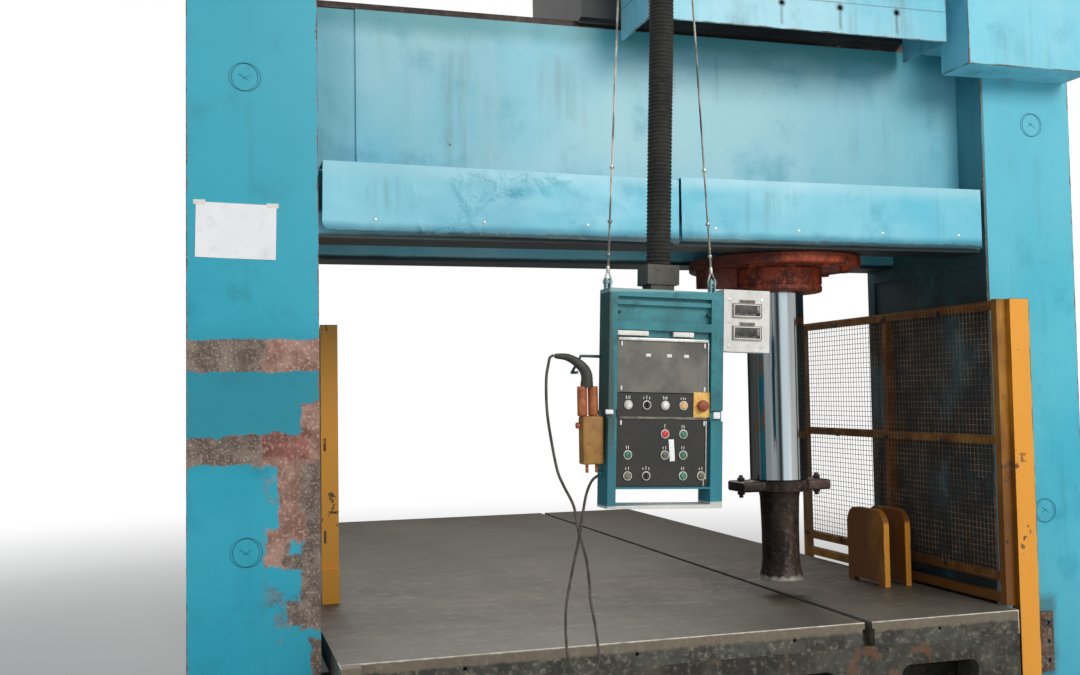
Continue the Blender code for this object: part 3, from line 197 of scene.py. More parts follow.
def plus(tree, first, second):
    return maths(tree, "ADD", first, second)


def minus(tree, first, second):
    return maths(tree, "SUBTRACT", first, second)


def inverse(tree, value):
    return minus(tree, 1.0, value)


def larger(tree, first, second):
    return maths(tree, "MAXIMUM", first, second)


def smaller(tree, first, second):
    return maths(tree, "MINIMUM", first, second)


def vectors(tree, operation, first, second=(0, 0, 0), output=0):
    return put(tree, "VectorMath", {0: first, 1: second}, operation=operation).outputs[output]


def split(tree, vector):
    return put(tree, "SeparateXYZ", {0: vector}).outputs


def mixed(tree, mask, under, over):
    return put(tree, "Mix", {0: mask, 6: under, 7: over}, data_type="RGBA").outputs[2]


def ramped(tree, value, low, high, start=0.0, end=1.0):
    return put(tree, "MapRange", {0: value, 1: low, 2: high, 3: start, 4: end},
               interpolation_type="SMOOTHSTEP").outputs[0]


def noise(tree, vector, scale, detail=4, rough=0.5, stretch=(1, 1, 1), shift=(0, 0, 0)):
    if stretch != (1, 1, 1) or shift != (0, 0, 0):
        vector = put(tree, "Mapping", {"Vector": vector, "Location": shift, "Scale": stretch}).outputs[0]
    return put(tree, "TexNoise", {"Vector": vector, "Scale": scale, "Detail": detail, "Roughness": rough}).outputs[0]


def newMaterial(name, roughness=0.5, metallic=0.0):
    material = bpy.data.materials.new(name)
    material.use_nodes = True
    tree = material.node_tree
    surface = tree.nodes["Principled BSDF"]
    surface.inputs["Roughness"].default_value = roughness
    surface.inputs["Metallic"].default_value = metallic
    return material, tree, surface, put(tree, "TexCoord").outputs["Object"]


def addBump(tree, surface, height, strength=0.3, distance=0.002):
    bump = put(tree, "Bump", {"Height": height, "Strength": strength, "Distance": distance})
    tree.links.new(bump.outputs[0], surface.inputs["Normal"])


def toSurface(tree, surface, tone, rough=None):
    tree.links.new(tone, surface.inputs["Base Color"])
    if rough is not None:
        tree.links.new(rough, surface.inputs["Roughness"])


# ---- camera, at the photograph's place ----
cameraSet = {"place": (-1.953, -4.942, 1.57), "yaw": 16.5045, "pitch": 2.7951, "roll": -0.9099, "lens": 38.09}


def addCamera(s):
    yaw, pitch, roll = (math.radians(s[k]) for k in ("yaw", "pitch", "roll"))
    forward = Vector((math.sin(yaw) * math.cos(pitch), math.cos(yaw) * math.cos(pitch), math.sin(pitch)))
    side = Vector((math.cos(yaw), -math.sin(yaw), 0))
    upward = side.cross(forward)
    right = side * math.cos(roll) + upward * math.sin(roll)
    top = upward * math.cos(roll) - side * math.sin(roll)
    data = bpy.data.cameras.new("photoCamera")
    data.sensor_width = 36
    data.lens = s["lens"]
    data.clip_end = 200
    camera = linked("photoCamera", data)
    turn = Matrix((right, top, -forward)).transposed().to_4x4()
    camera.matrix_world = Matrix.Translation(Vector(s["place"])) @ turn
    bpy.context.scene.camera = camera


# ---- floor, background and light ----
stageSet = {"floorSize": 90, "floorPlace": (0, 10, -0.0005), "floorColour": colour(222, 222, 219), "floorDark": 0.96,
            "fadeCentre": (0, 1.2, 0), "fadeStart": 3.2, "fadeEnd": 11.0,
            "skyColour": colour(236, 242, 250), "skyStrength": 0.42}


def addFloor(s):
    deselect()
    bpy.ops.mesh.primitive_plane_add(size=s["floorSize"], location=s["floorPlace"])
    floor = settle(named("floor"))
    paint, tree, surface, place = newMaterial("floorPaint", 0.8)
    surface.inputs["Specular IOR Level"].default_value = 0.2
    darker = (*(part * s["floorDark"] for part in s["floorColour"][:3]), 1)
    toSurface(tree, surface, mixed(tree, noise(tree, place, 1.3, 6), darker, s["floorColour"]))
    # past the object the floor runs out into the white of the background
    reach = vectors(tree, "DISTANCE", place, s["fadeCentre"], "Value")
    fade = ramped(tree, reach, s["fadeStart"], s["fadeEnd"])
    share = times(tree, fade, put(tree, "LightPath").outputs["Is Camera Ray"])
    blend = put(tree, "MixShader", {0: share, 1: surface.outputs[0], 2: put(tree, "Emission").outputs[0]})
    tree.links.new(blend.outputs[0], tree.nodes["Material Output"].inputs["Surface"])
    floor.data.materials.append(paint)


def addSky(s):
    world = bpy.data.worlds.new("studioSky")
    bpy.context.scene.world = world
    world.use_nodes = True
    tree = world.node_tree
    tree.nodes.clear()
    rays = put(tree, "LightPath").outputs
    seen = larger(tree, larger(tree, rays["Is Camera Ray"], rays["Is Glossy Ray"]), rays["Is Transmission Ray"])
    light = put(tree, "Background", {"Color": s["skyColour"], "Strength": s["skyStrength"]})
    white = put(tree, "Background", {"Color": (1, 1, 1, 1), "Strength": 1})
    mix = put(tree, "MixShader", {0: seen, 1: light.outputs[0], 2: white.outputs[0]})
    put(tree, "OutputWorld", {"Surface": mix.outputs[0]})
    bpy.context.scene.view_settings.view_transform = "Standard"


lampSet = {"keyLamp": ((3.5, -9.5, 6.5), (0.0, 0, 1.6), (5, 4), 610, (255, 249, 240)),
           "fillLamp": ((-6.5, -8.0, 4.5), (0, 0, 1.5), (4, 5), 110, (235, 244, 255)),
           "backLamp": ((1.0, 9.0, 6.5), (0, 0.5, 1.2), (6, 3), 260, (255, 252, 245))}


def addLamp(name, place, aim, size, power, tint):
    data = bpy.data.lights.new(name, "AREA")
    data.shape = "RECTANGLE"
    data.size, data.size_y = size
    data.energy = power
    data.color = colour(*tint)[:3]
    lamp = linked(name, data)
    lamp.location = place
    lamp.rotation_euler = (Vector(aim) - Vector(place)).to_track_quat("-Z", "Y").to_euler()


# a ring of soft cards, seen in gloss alone, gives the polished rod its dark and bright stripes
cardSet = {"centre": (0.6914, 0.0), "radius": 7.5, "low": -0.4, "high": 4.6, "count": 180, "view": (0.4718, 0.8817),
           "tint": (0.97, 1.0, 0.99),
           "tones": ((-180, 0.003), (-150, 0.008), (-136, 0.025), (-120, 0.075), (-82, 0.085), (-68, 0.40),
                     (-10, 0.46), (0, 0.34), (7, 0.06), (14, 0.07), (22, 1.15), (44, 1.25), (54, 0.62), (72, 0.50),
                     (106, 0.52), (122, 0.05), (150, 0.012), (180, 0.003))}


def addCards(s):
    away = Vector((*s["view"], 0))
    right = Vector((away.y, -away.x, 0))
    spots, tones = [], []
    angles, values = zip(*s["tones"])
    for k in range(s["count"] + 1):
        turn = -180 + 360 * k / s["count"]
        arm = math.sin(math.radians(turn)) * right - math.cos(math.radians(turn)) * away
        for z in (s["low"], s["high"]):
            spots.append((s["centre"][0] + s["radius"] * arm.x, s["centre"][1] + s["radius"] * arm.y, z))
            tones.append(float(np.interp(turn, angles, values)))
    cards = meshPiece("glossCards", spots, [], [(2 * k, 2 * k + 2, 2 * k + 3, 2 * k + 1) for k in range(s["count"])])
    tone = cards.data.color_attributes.new("tone", "FLOAT_COLOR", "POINT")
    for k, value in enumerate(tones):
        tone.data[k].color = (*(value * part for part in s["tint"]), 1)
    glow = bpy.data.materials.new("cardGlow")
    glow.use_nodes = True
    tree = glow.node_tree
    tree.nodes.clear()
    read = put(tree, "Attribute", attribute_name="tone")
    shine = put(tree, "Emission", {"Color": read.outputs["Color"]})
    put(tree, "OutputMaterial", {"Surface": shine.outputs[0]})
    cards.data.materials.append(glow)
    for ray in ("camera", "diffuse", "transmission", "shadow", "volume_scatter"):
        setattr(cards, f"visible_{ray}", False)


addCamera(cameraSet)
addFloor(stageSet)
addSky(stageSet)
for lampName, lampValues in lampSet.items():
    addLamp(lampName, *lampValues)
addCards(cardSet)
print("camera, floor and lamps are in place")


# ---- shader groups ----
groups = {}


def makeGroup(name, outputs, **inputs):
    # each group takes a Vector first; a default's own form tells a number, a vector or a colour
    tree = bpy.data.node_groups.new(name, "ShaderNodeTree")
    groups[name] = tree
    for label, value in {"Vector": (0, 0, 0), **inputs}.items():
        kind = {3: "Vector", 4: "Color"}[len(value)] if isinstance(value, tuple) else "Float"
        socket = tree.interface.new_socket(name=label, in_out="INPUT", socket_type="NodeSocket" + kind)
        socket.default_value = value
    for label in outputs:
        kind = label if label in ("Vector", "Color") else "Float"
        tree.interface.new_socket(name=label, in_out="OUTPUT", socket_type="NodeSocket" + kind)
    given = tree.nodes.new("NodeGroupInput").outputs
    return tree, given["Vector"], given, tree.nodes.new("NodeGroupOutput").inputs


def useGroup(tree, group, place, **wires):
    return put(tree, "Group", {"Vector": place, **wires}, node_tree=groups[group]).outputs


def nearestWall(tree, place, given):
    low = vectors(tree, "SUBTRACT", place, given["Low"])
    high = vectors(tree, "SUBTRACT", given["High"], place)
    return vectors(tree, "MINIMUM", low, high)


def edgeWearGroup():
    # how near a point is to an edge of its box: the middle one of its three distances to the walls
    tree, place, given, out = makeGroup("edgeWear", ["Mask"], Low=(-1, -1, -1), High=(1, 1, 1), Width=0.01,
                                        Ragged=0.02, Scale=9.0)
    x, y, z = split(tree, vectors(tree, "ABSOLUTE", nearestWall(tree, place, given)))
    middle = larger(tree, smaller(tree, x, y), smaller(tree, larger(tree, x, y), z))
    bite = times(tree, minus(tree, noise(tree, place, given["Scale"], 7, 0.65), 0.5), given["Ragged"])
    tree.links.new(inverse(tree, ramped(tree, plus(tree, middle, bite), 0.0, given["Width"])), out["Mask"])


def cloudedPaintGroup():
    # brushed paint that has weathered: slow clouds, upright brush streaks and a fine speckle
    tree, place, given, out = makeGroup("cloudedPaint", ["Color", "Height"], Colour=(0, 0, 0, 1),
                                        Darker=(0, 0, 0, 1), Paler=(1, 1, 1, 1), Scale=1.0, Streaks=0.5)
    cloudScale, streakScale, blotScale, speckleScale = (times(tree, given["Scale"], k) for k in (1.1, 7.0, 4.3, 90.0))
    clouds = noise(tree, place, cloudScale, 5, 0.55)
    streaks = noise(tree, place, streakScale, 5, 0.6, (1, 1, 0.16))
    blots = noise(tree, place, blotScale, 6, 0.65, shift=(3.1, 7.7, 1.9))
    speckle = noise(tree, place, speckleScale, 3, 0.6)
    tone = mixed(tree, ramped(tree, clouds, 0.36, 0.66, 0.0, 0.85), given["Colour"], given["Paler"])
    tone = mixed(tree, ramped(tree, blots, 0.52, 0.74, 0.0, 0.75), tone, given["Darker"])
    upright = times(tree, ramped(tree, streaks, 0.5, 0.72), given["Streaks"])
    tone = mixed(tree, upright, tone, given["Paler"])
    tone = mixed(tree, ramped(tree, speckle, 0.62, 0.8, 0.0, 0.5), tone, given["Darker"])
    tree.links.new(tone, out["Color"])
    tree.links.new(plus(tree, times(tree, streaks, 0.6), times(tree, speckle, 0.4)), out["Height"])


def chipsGroup():
    # small flakes that have come off, in clusters
    tree, place, given, out = makeGroup("chips", ["Mask"], Scale=14.0, Amount=0.3)
    flakes = noise(tree, place, given["Scale"], 8, 0.62, shift=(1.3, 4.2, 8.8))
    clusters = noise(tree, place, times(tree, given["Scale"], 0.16), 3, 0.5)
    both = plus(tree, times(tree, flakes, 0.6), times(tree, clusters, 0.4))
    start = minus(tree, 0.72, times(tree, given["Amount"], 0.25))
    tree.links.new(ramped(tree, minus(tree, both, start), 0.0, 0.012), out["Mask"])


def boxPatchGroup():
    # inside a box, with a soft border; its vector may be a ragged one
    tree, place, given, out = makeGroup("boxPatch", ["Mask"], Low=(0, 0, 0), High=(1, 1, 1), Soft=0.01)
    x, y, z = split(tree, nearestWall(tree, place, given))
    inside = smaller(tree, smaller(tree, x, y), z)
    tree.links.new(ramped(tree, inside, 0.0, given["Soft"]), out["Mask"])


def raggedGroup():
    # bends a position by noise, so that a patch gets a torn outline
    tree, place, given, out = makeGroup("ragged", ["Vector"], Scale=6.0, Bend=0.06)
    cloud = put(tree, "TexNoise", {"Vector": place, "Scale": given["Scale"], "Detail": 7,
                                   "Roughness": 0.62}).outputs["Color"]
    push = vectors(tree, "SUBTRACT", cloud, (0.5, 0.5, 0.5))
    push = put(tree, "VectorMath", {0: push, "Scale": given["Bend"]}, operation="SCALE").outputs[0]
    tree.links.new(vectors(tree, "ADD", place, push), out["Vector"])


def ringPatchGroup():
    # a ring or a disc round a centre, such as the gap round a plug or the dirt round a hole
    tree, place, given, out = makeGroup("ringPatch", ["Ring", "Disc"], Centre=(0, 0, 0), Radius=0.05, Width=0.004)
    past = minus(tree, vectors(tree, "DISTANCE", place, given["Centre"], "Value"), given["Radius"])
    for label, off in (("Ring", maths(tree, "ABSOLUTE", past)), ("Disc", past)):
        tree.links.new(inverse(tree, ramped(tree, off, 0.0, given["Width"])), out[label])


def rustGroup():
    # rust or worn metal in three tones, with pits
    tree, place, given, out = makeGroup("rust", ["Color", "Height"], Dark=(0, 0, 0, 1), Middle=(0, 0, 0, 1),
                                        Bright=(1, 1, 1, 1), Scale=10.0)
    wide = noise(tree, place, given["Scale"], 6, 0.6)
    fine = noise(tree, place, times(tree, given["Scale"], 6.0), 6, 0.68, shift=(5.0, 1.0, 2.0))
    tone = mixed(tree, ramped(tree, wide, 0.38, 0.62), given["Dark"], given["Middle"])
    tone = mixed(tree, ramped(tree, fine, 0.5, 0.68, 0.0, 0.8), tone, given["Bright"])
    tone = mixed(tree, ramped(tree, fine, 0.3, 0.42, 0.7, 0.0), tone, given["Dark"])
    tree.links.new(tone, out["Color"])
    tree.links.new(fine, out["Height"])


def runsGroup():
    # dirt that has run down an upright face
    tree, place, given, out = makeGroup("runs", ["Mask"], Scale=10.0, Amount=0.4)
    lines = noise(tree, place, given["Scale"], 5, 0.6, (1, 1, 0.05), (2.2, 0.4, 0.0))
    broken = noise(tree, place, times(tree, given["Scale"], 0.3), 4, 0.5, shift=(9, 9, 9))
    strength = times(tree, ramped(tree, lines, 0.5, 0.7), ramped(tree, broken, 0.42, 0.62))
    tree.links.new(times(tree, strength, given["Amount"]), out["Mask"])


for makeOne in (edgeWearGroup, cloudedPaintGroup, chipsGroup, boxPatchGroup, raggedGroup, ringPatchGroup, rustGroup,
                runsGroup):
    makeOne()
print("shader groups made:", len(groups))


def patch(tree, vector, low, high, soft=0.01):
    return useGroup(tree, "boxPatch", vector, Low=low, High=high, Soft=soft)["Mask"]


def tornVector(tree, vector, scale=6.0, bend=0.06):
    return useGroup(tree, "ragged", vector, Scale=scale, Bend=bend)["Vector"]


def tones(dark, middle, bright):
    return {"Dark": colour(*dark), "Middle": colour(*middle), "Bright": colour(*bright)}


def rusted(tree, place, scale, *three):
    return useGroup(tree, "rust", place, Scale=scale, **tones(*three))


def tinted(tree, tone, rgb, *masks):
    # lays a colour over the tone where all the masks meet
    mask = masks[0]
    for other in masks[1:]:
        mask = times(tree, mask, other)
    return mixed(tree, mask, tone, colour(*rgb))


# ---- finishes ----
rustTones = tones((52, 30, 20), (104, 58, 32), (168, 92, 48))
steelTones = tones((70, 60, 52), (122, 106, 94), (176, 164, 152))
# what a weathered paint has unless its own settings say otherwise
paintSet = {"scale": 1.0, "streaks": 0.35, "under": steelTones, "dirt": (52, 62, 58), "runs": 0.35, "wearScale": 9.0,
            "chipScale": 13.0, "bump": 0.25}


def cloudedCoat(tree, place, s):
    plain, darker, paler = (colour(*rgb) for rgb in s["paint"])
    return useGroup(tree, "cloudedPaint", place, Colour=plain, Darker=darker, Paler=paler, Scale=s["scale"],
                    Streaks=s["streaks"])


def weatheredPaint(name, own, extra=None):
    # paint: plain, darker, paler; low and high: the corners that wear; extra adds this piece's own marks
    s = {**paintSet, **own}
    material, tree, surface, place = newMaterial(name)
    paint = cloudedCoat(tree, place, s)
    under = useGroup(tree, "rust", place, Scale=14.0, **s["under"])
    dirty = useGroup(tree, "runs", place, Scale=11.0, Amount=s["runs"])["Mask"]
    tone = tinted(tree, paint["Color"], s["dirt"], dirty)
    edges = useGroup(tree, "edgeWear", place, Low=s["low"], High=s["high"], Width=s["wear"], Ragged=s["ragged"],
                     Scale=s["wearScale"])["Mask"]
    chipped = useGroup(tree, "chips", place, Scale=s["chipScale"], Amount=s["chips"])["Mask"]
    bare = larger(tree, edges, chipped)
    if extra:
        tone, bare = extra(tree, place, tone, bare)
    tone = mixed(tree, bare, tone, under["Color"])
    toSurface(tree, surface, tone, plus(tree, times(tree, bare, 0.3), s["rough"]))
    addBump(tree, surface, minus(tree, times(tree, paint["Height"], 0.5), bare), s["bump"], 0.0012)
    return material


def plugMarks(tree, place, tone, x, front=-0.49):
    # the dark gap round each plug, and its turning slot
    for z in (0.99, 2.795):
        ring = useGroup(tree, "ringPatch", place, Centre=(x, front, z), Radius=0.054, Width=0.004)["Ring"]
        tone = tinted(tree, tone, (8, 74, 92), ring, 0.8)
        turned = put(tree, "Mapping", {"Vector": place, "Location": (-x, 0, -z)}, vector_type="POINT").outputs[0]
        turned = put(tree, "VectorRotate", {"Vector": turned, "Angle": math.radians(32)},
                     rotation_type="Y_AXIS").outputs[0]
        slot = patch(tree, turned, (-0.019, front - 0.02, -0.004), (0.019, front + 0.02, 0.004), 0.003)
        tone = tinted(tree, tone, (14, 96, 112), slot, 0.6)
    return tone


leftColumnSet = {"paint": ((0, 156, 184), (4, 128, 150), (44, 172, 196)),
                 "low": (-2.01, -0.49, 0), "high": (-1.52, 0.49, 3.15), "wear": 0.006, "ragged": 0.03,
                 "chips": 0.12, "streaks": 0.25, "runs": 0.25, "rough": 0.38}


def leftColumnMarks(tree, place, tone, bare):
    z = split(tree, place)[2]
    # paler above, deeper near the floor
    tone = tinted(tree, tone, (64, 172, 194), ramped(tree, z, 1.8, 3.0, 0.0, 0.55))
    tone = tinted(tree, tone, (0, 146, 172), ramped(tree, z, 1.1, 0.3, 0.0, 0.6))
    dusk = times(tree, ramped(tree, z, 1.25, 1.45), ramped(tree, z, 1.9, 1.66))
    tone = tinted(tree, tone, (14, 118, 132), dusk, 0.55)
    torn = tornVector(tree, tornVector(tree, place, 5.0, 0.11), 24.0, 0.045)
    fine = tornVector(tree, tornVector(tree, place, 9.0, 0.03), 34.0, 0.022)
    rubbed = rusted(tree, place, 17.0, (92, 76, 66), (134, 118, 106), (196, 182, 170))["Color"]
    pink = rusted(tree, place, 13.0, (132, 92, 78), (172, 132, 118), (208, 178, 164))["Color"]
    red = rusted(tree, place, 13.0, (112, 66, 56), (156, 98, 84), (204, 164, 150))["Color"]
    # two bands across the front and the side, then the bare areas along the inner edge
    worn = larger(tree, patch(tree, fine, (-2.1, -0.55, 1.664), (-1.40, 0.30, 1.796), 0.008),
                  patch(tree, torn, (-2.1, -0.55, 1.305), (-1.40, 0.20, 1.425), 0.008))
    areas = ((-1.680, 0.90, -1.4, 1.36), (-1.728, 0.925, -1.655, 1.085), (-1.602, 0.68, -1.4, 1.55),
             (-1.560, 0.42, -1.4, 0.66), (-1.650, 0.70, -1.58, 0.79))
    for low, bottom, high, top in areas:
        worn = larger(tree, worn, patch(tree, torn, (low, -0.55, bottom), (high, -0.30, top), 0.01))
    island = patch(tree, torn, (-1.650, -0.6, 0.965), (-1.590, 0.6, 1.025), 0.02)
    worn = times(tree, worn, inverse(tree, island), clamp=True)
    # flakes thicken towards the worn side
    near = patch(tree, place, (-1.76, -0.55, 0.35), (-1.4, -0.3, 1.3), 0.12)
    flakes = useGroup(tree, "chips", place, Scale=16.0, Amount=0.62)["Mask"]
    worn = larger(tree, worn, times(tree, flakes, near))
    tone = plugMarks(tree, place, tone, -1.79)
    wornTone = rubbed
    for left, foot, right, top, soft, shade in ((-1.735, 1.0, -1.3, 1.9, 0.02, pink),
                                                (-1.728, 0.9, -1.66, 1.09, 0.01, pink),
                                                (-1.728, 1.325, -1.56, 1.46, 0.01, red),
                                                (-1.60, 0.3, -1.3, 1.33, 0.02, rubbed)):
        wornTone = mixed(tree, patch(tree, torn, (left, -0.6, foot), (right, 0.6, top), soft), wornTone, shade)
    streak = useGroup(tree, "runs", place, Scale=30.0, Amount=0.8)["Mask"]
    wornTone = tinted(tree, wornTone, (96, 82, 72), streak)
    tone = mixed(tree, worn, tone, wornTone)
    return tone, times(tree, bare, inverse(tree, worn), clamp=True)


rightColumnSet = {"paint": ((56, 182, 210), (26, 152, 184), (98, 202, 222)),
                  "low": (1.52, -0.49, 0), "high": (2.01, 0.49, 3.15), "wear": 0.006, "ragged": 0.03,
                  "chips": 0.12, "streaks": 0.25, "runs": 0.3, "rough": 0.4}


def rightColumnMarks(tree, place, tone, bare):
    x, _, z = split(tree, place)
    tone = tinted(tree, tone, (112, 198, 216), ramped(tree, z, 1.6, 2.8, 0.0, 0.5))
    tone = tinted(tree, tone, (54, 162, 190), ramped(tree, z, 1.3, 0.2, 0.0, 0.5))
    tone = plugMarks(tree, place, tone, 1.79)
    # grime where the guard's bracket is bolted on
    dirt = patch(tree, tornVector(tree, place, 5.0, 0.12), (1.50, -0.6, 0.12), (1.86, -0.4, 0.62), 0.06)
    tone = tinted(tree, tone, (58, 64, 58), dirt, 0.55)
    # painted shade: the face towards the ram is painted dark brown, mottled, and darker lower down
    innerFaceShade = times(tree, ramped(tree, x, 1.5345, 1.5325), ramped(tree, z, 2.9, 1.9, 0.55, 0.93))
    shadeMottle = ramped(tree, noise(tree, place, 3.2, 6, 0.65, (1, 1, 0.5)), 0.28, 0.52, 0.72, 1.0)
    return tinted(tree, tone, (38, 27, 17), innerFaceShade, shadeMottle), bare


beamSet = {"paint": ((112, 192, 212), (72, 160, 184), (158, 206, 216)),
           "low": (-1.52, -0.45, 2.19), "high": (1.52, 0.45, 3.15), "wear": 0.004, "ragged": 0.02,
           "chips": 0.10, "streaks": 0.4, "runs": 0.3, "rough": 0.4, "scale": 0.8}


def beamMarks(tree, place, tone, bare):
    x, _, z = split(tree, place)
    # paler under the head, deeper to the right, and an uneven deep line along the top that is painted shadow
    tone = tinted(tree, tone, (78, 172, 196), ramped(tree, x, 0.1, 1.4, 0.0, 0.55))
    edge = ramped(tree, plus(tree, z, times(tree, noise(tree, place, 5.0, 4), 0.08)), 3.06, 3.16)
    tone = tinted(tree, tone, (44, 140, 150), edge, 0.7)
    left = patch(tree, tornVector(tree, place, 3.0, 0.2), (-1.6, -0.6, 2.2), (-1.30, 0.6, 3.2), 0.12)
    tone = tinted(tree, tone, (96, 160, 176), left, 0.35)
    # painted shade: the underside is painted near black
    darkening = ramped(tree, plus(tree, z, times(tree, noise(tree, place, 8.0, 5), 0.012)), 2.222, 2.208)
    return tinted(tree, tone, (7, 14, 13), darkening, 0.95), bare


coverSet = {"paint": ((96, 196, 222), (48, 164, 194), (144, 214, 232)),
            "low": (-1.50, -0.56, 2.20), "high": (1.51, -0.40, 2.478), "wear": 0.004, "ragged": 0.012,
            "chips": 0.22, "streaks": 0.35, "runs": 0.35, "rough": 0.34, "bump": 0.3}


def coverMarks(tree, place, tone, bare):
    _, _, z = split(tree, place)
    # painted highlight along the top bend; deep along the foot, with a dark ragged lip
    tone = tinted(tree, tone, (162, 218, 234), ramped(tree, z, 2.40, 2.472, 0.0, 0.75))
    foot = ramped(tree, plus(tree, z, times(tree, noise(tree, place, 9.0, 5), 0.03)), 2.275, 2.235)
    tone = tinted(tree, tone, (8, 128, 154), foot, 0.85)
    lip = ramped(tree, plus(tree, z, times(tree, noise(tree, place, 26.0, 5), 0.014)), 2.232, 2.220)
    return tinted(tree, tone, (18, 40, 42), lip, 0.85), bare


def coverMaterial():
    # the sheet's dents and creases are in its bump, along with the paint
    material = weatheredPaint("coverPaint", coverSet, coverMarks)
    tree = material.node_tree
    surface = tree.nodes["Principled BSDF"]
    place = next(n for n in tree.nodes if n.bl_idname == "ShaderNodeTexCoord").outputs["Object"]
    dents = noise(tree, place, 2.6, 2, 0.45, (1, 1, 1.6))
    creases = put(tree, "TexVoronoi", {"Vector": tornVector(tree, place, 3.0, 0.25), "Scale": 3.2},
                  feature="DISTANCE_TO_EDGE").outputs["Distance"]
    x = split(tree, place)[0]
    few = times(tree, ramped(tree, noise(tree, place, 1.7, 2), 0.52, 0.60), ramped(tree, x, 0.05, -0.15))
    folds = times(tree, ramped(tree, creases, 0.0, 0.10, 0.45, 0.0), few)
    height = plus(tree, times(tree, dents, 1.6), folds)
    first = surface.inputs["Normal"].links[0].from_socket
    bump = put(tree, "Bump", {"Height": height, "Strength": 0.55, "Distance": 0.02, "Normal": first})
    tree.links.new(bump.outputs[0], surface.inputs["Normal"])
    return material


cabinetSet = {"paint": ((118, 206, 228), (84, 172, 196), (160, 218, 232)),
              "low": (1.314, -0.69, 3.003), "high": (1.98, 0.40, 3.75), "wear": 0.006, "ragged": 0.02,
              "chips": 0.12, "streaks": 0.3, "runs": 0.3, "rough": 0.36}
headCoverSet = {"paint": ((84, 188, 214), (60, 150, 172), (150, 208, 224)),
                "low": (-0.21, -0.69, 3.088), "high": (1.20, -0.37, 3.75), "wear": 0.005, "ragged": 0.02,
                "chips": 0.12, "streaks": 0.45, "runs": 0.4, "rough": 0.36}


def headCoverMarks(tree, place, tone, bare):
    z = split(tree, place)[2]
    seam = inverse(tree, ramped(tree, maths(tree, "ABSOLUTE", minus(tree, z, 3.222)), 0.0, 0.004))
    tone = tinted(tree, tone, (20, 88, 102), seam, 0.75)
    # drips from the three holes
    torn = tornVector(tree, place, 9.0, 0.018)
    for step in (-1, 0, 1):
        x = 0.6714 + 0.278 * step
        drip = patch(tree, torn, (x - 0.014, -0.72, 3.10), (x + 0.014, -0.66, 3.205), 0.02)
        spot = useGroup(tree, "ringPatch", place, Centre=(x, -0.69, 3.20), Radius=0.012, Width=0.012)["Disc"]
        tone = tinted(tree, tone, (10, 62, 72), larger(tree, drip, spot), 0.85)
    return tone, bare


finishes = {
    "leftColumn": weatheredPaint("leftColumnPaint", leftColumnSet, leftColumnMarks),
    "rightColumn": weatheredPaint("rightColumnPaint", rightColumnSet, rightColumnMarks),
    "beam": weatheredPaint("beamPaint", beamSet, beamMarks), "cover": coverMaterial(),
    "cabinet": weatheredPaint("cabinetPaint", cabinetSet),
    "headCover": weatheredPaint("headCoverPaint", headCoverSet, headCoverMarks)}


# what a plain coat has unless its own settings say otherwise
coatSet = {"scale": 4.0, "streaks": 0.3, "chips": 0, "chipScale": 30.0, "under": rustTones, "rough": 0.5,
           "metal": 0.0, "bump": 0.2, "depth": 0.001}


def plainCoat(name, own):
    # a smaller piece's coat: a clouded colour, flakes where it has any, and a little bump
    s = {**coatSet, **own}
    material, tree, surface, place = newMaterial(name, s["rough"], s["metal"])
    paint = cloudedCoat(tree, place, s)
    tone = paint["Color"]
    if s["chips"]:
        flakes = useGroup(tree, "chips", place, Scale=s["chipScale"], Amount=s["chips"])["Mask"]
        tone = mixed(tree, flakes, tone, useGroup(tree, "rust", place, Scale=20.0, **s["under"])["Color"])
    toSurface(tree, surface, tone, plus(tree, times(tree, paint["Height"], 0.15), s["rough"] - 0.07))
    addBump(tree, surface, paint["Height"], s["bump"], s["depth"])
    return material


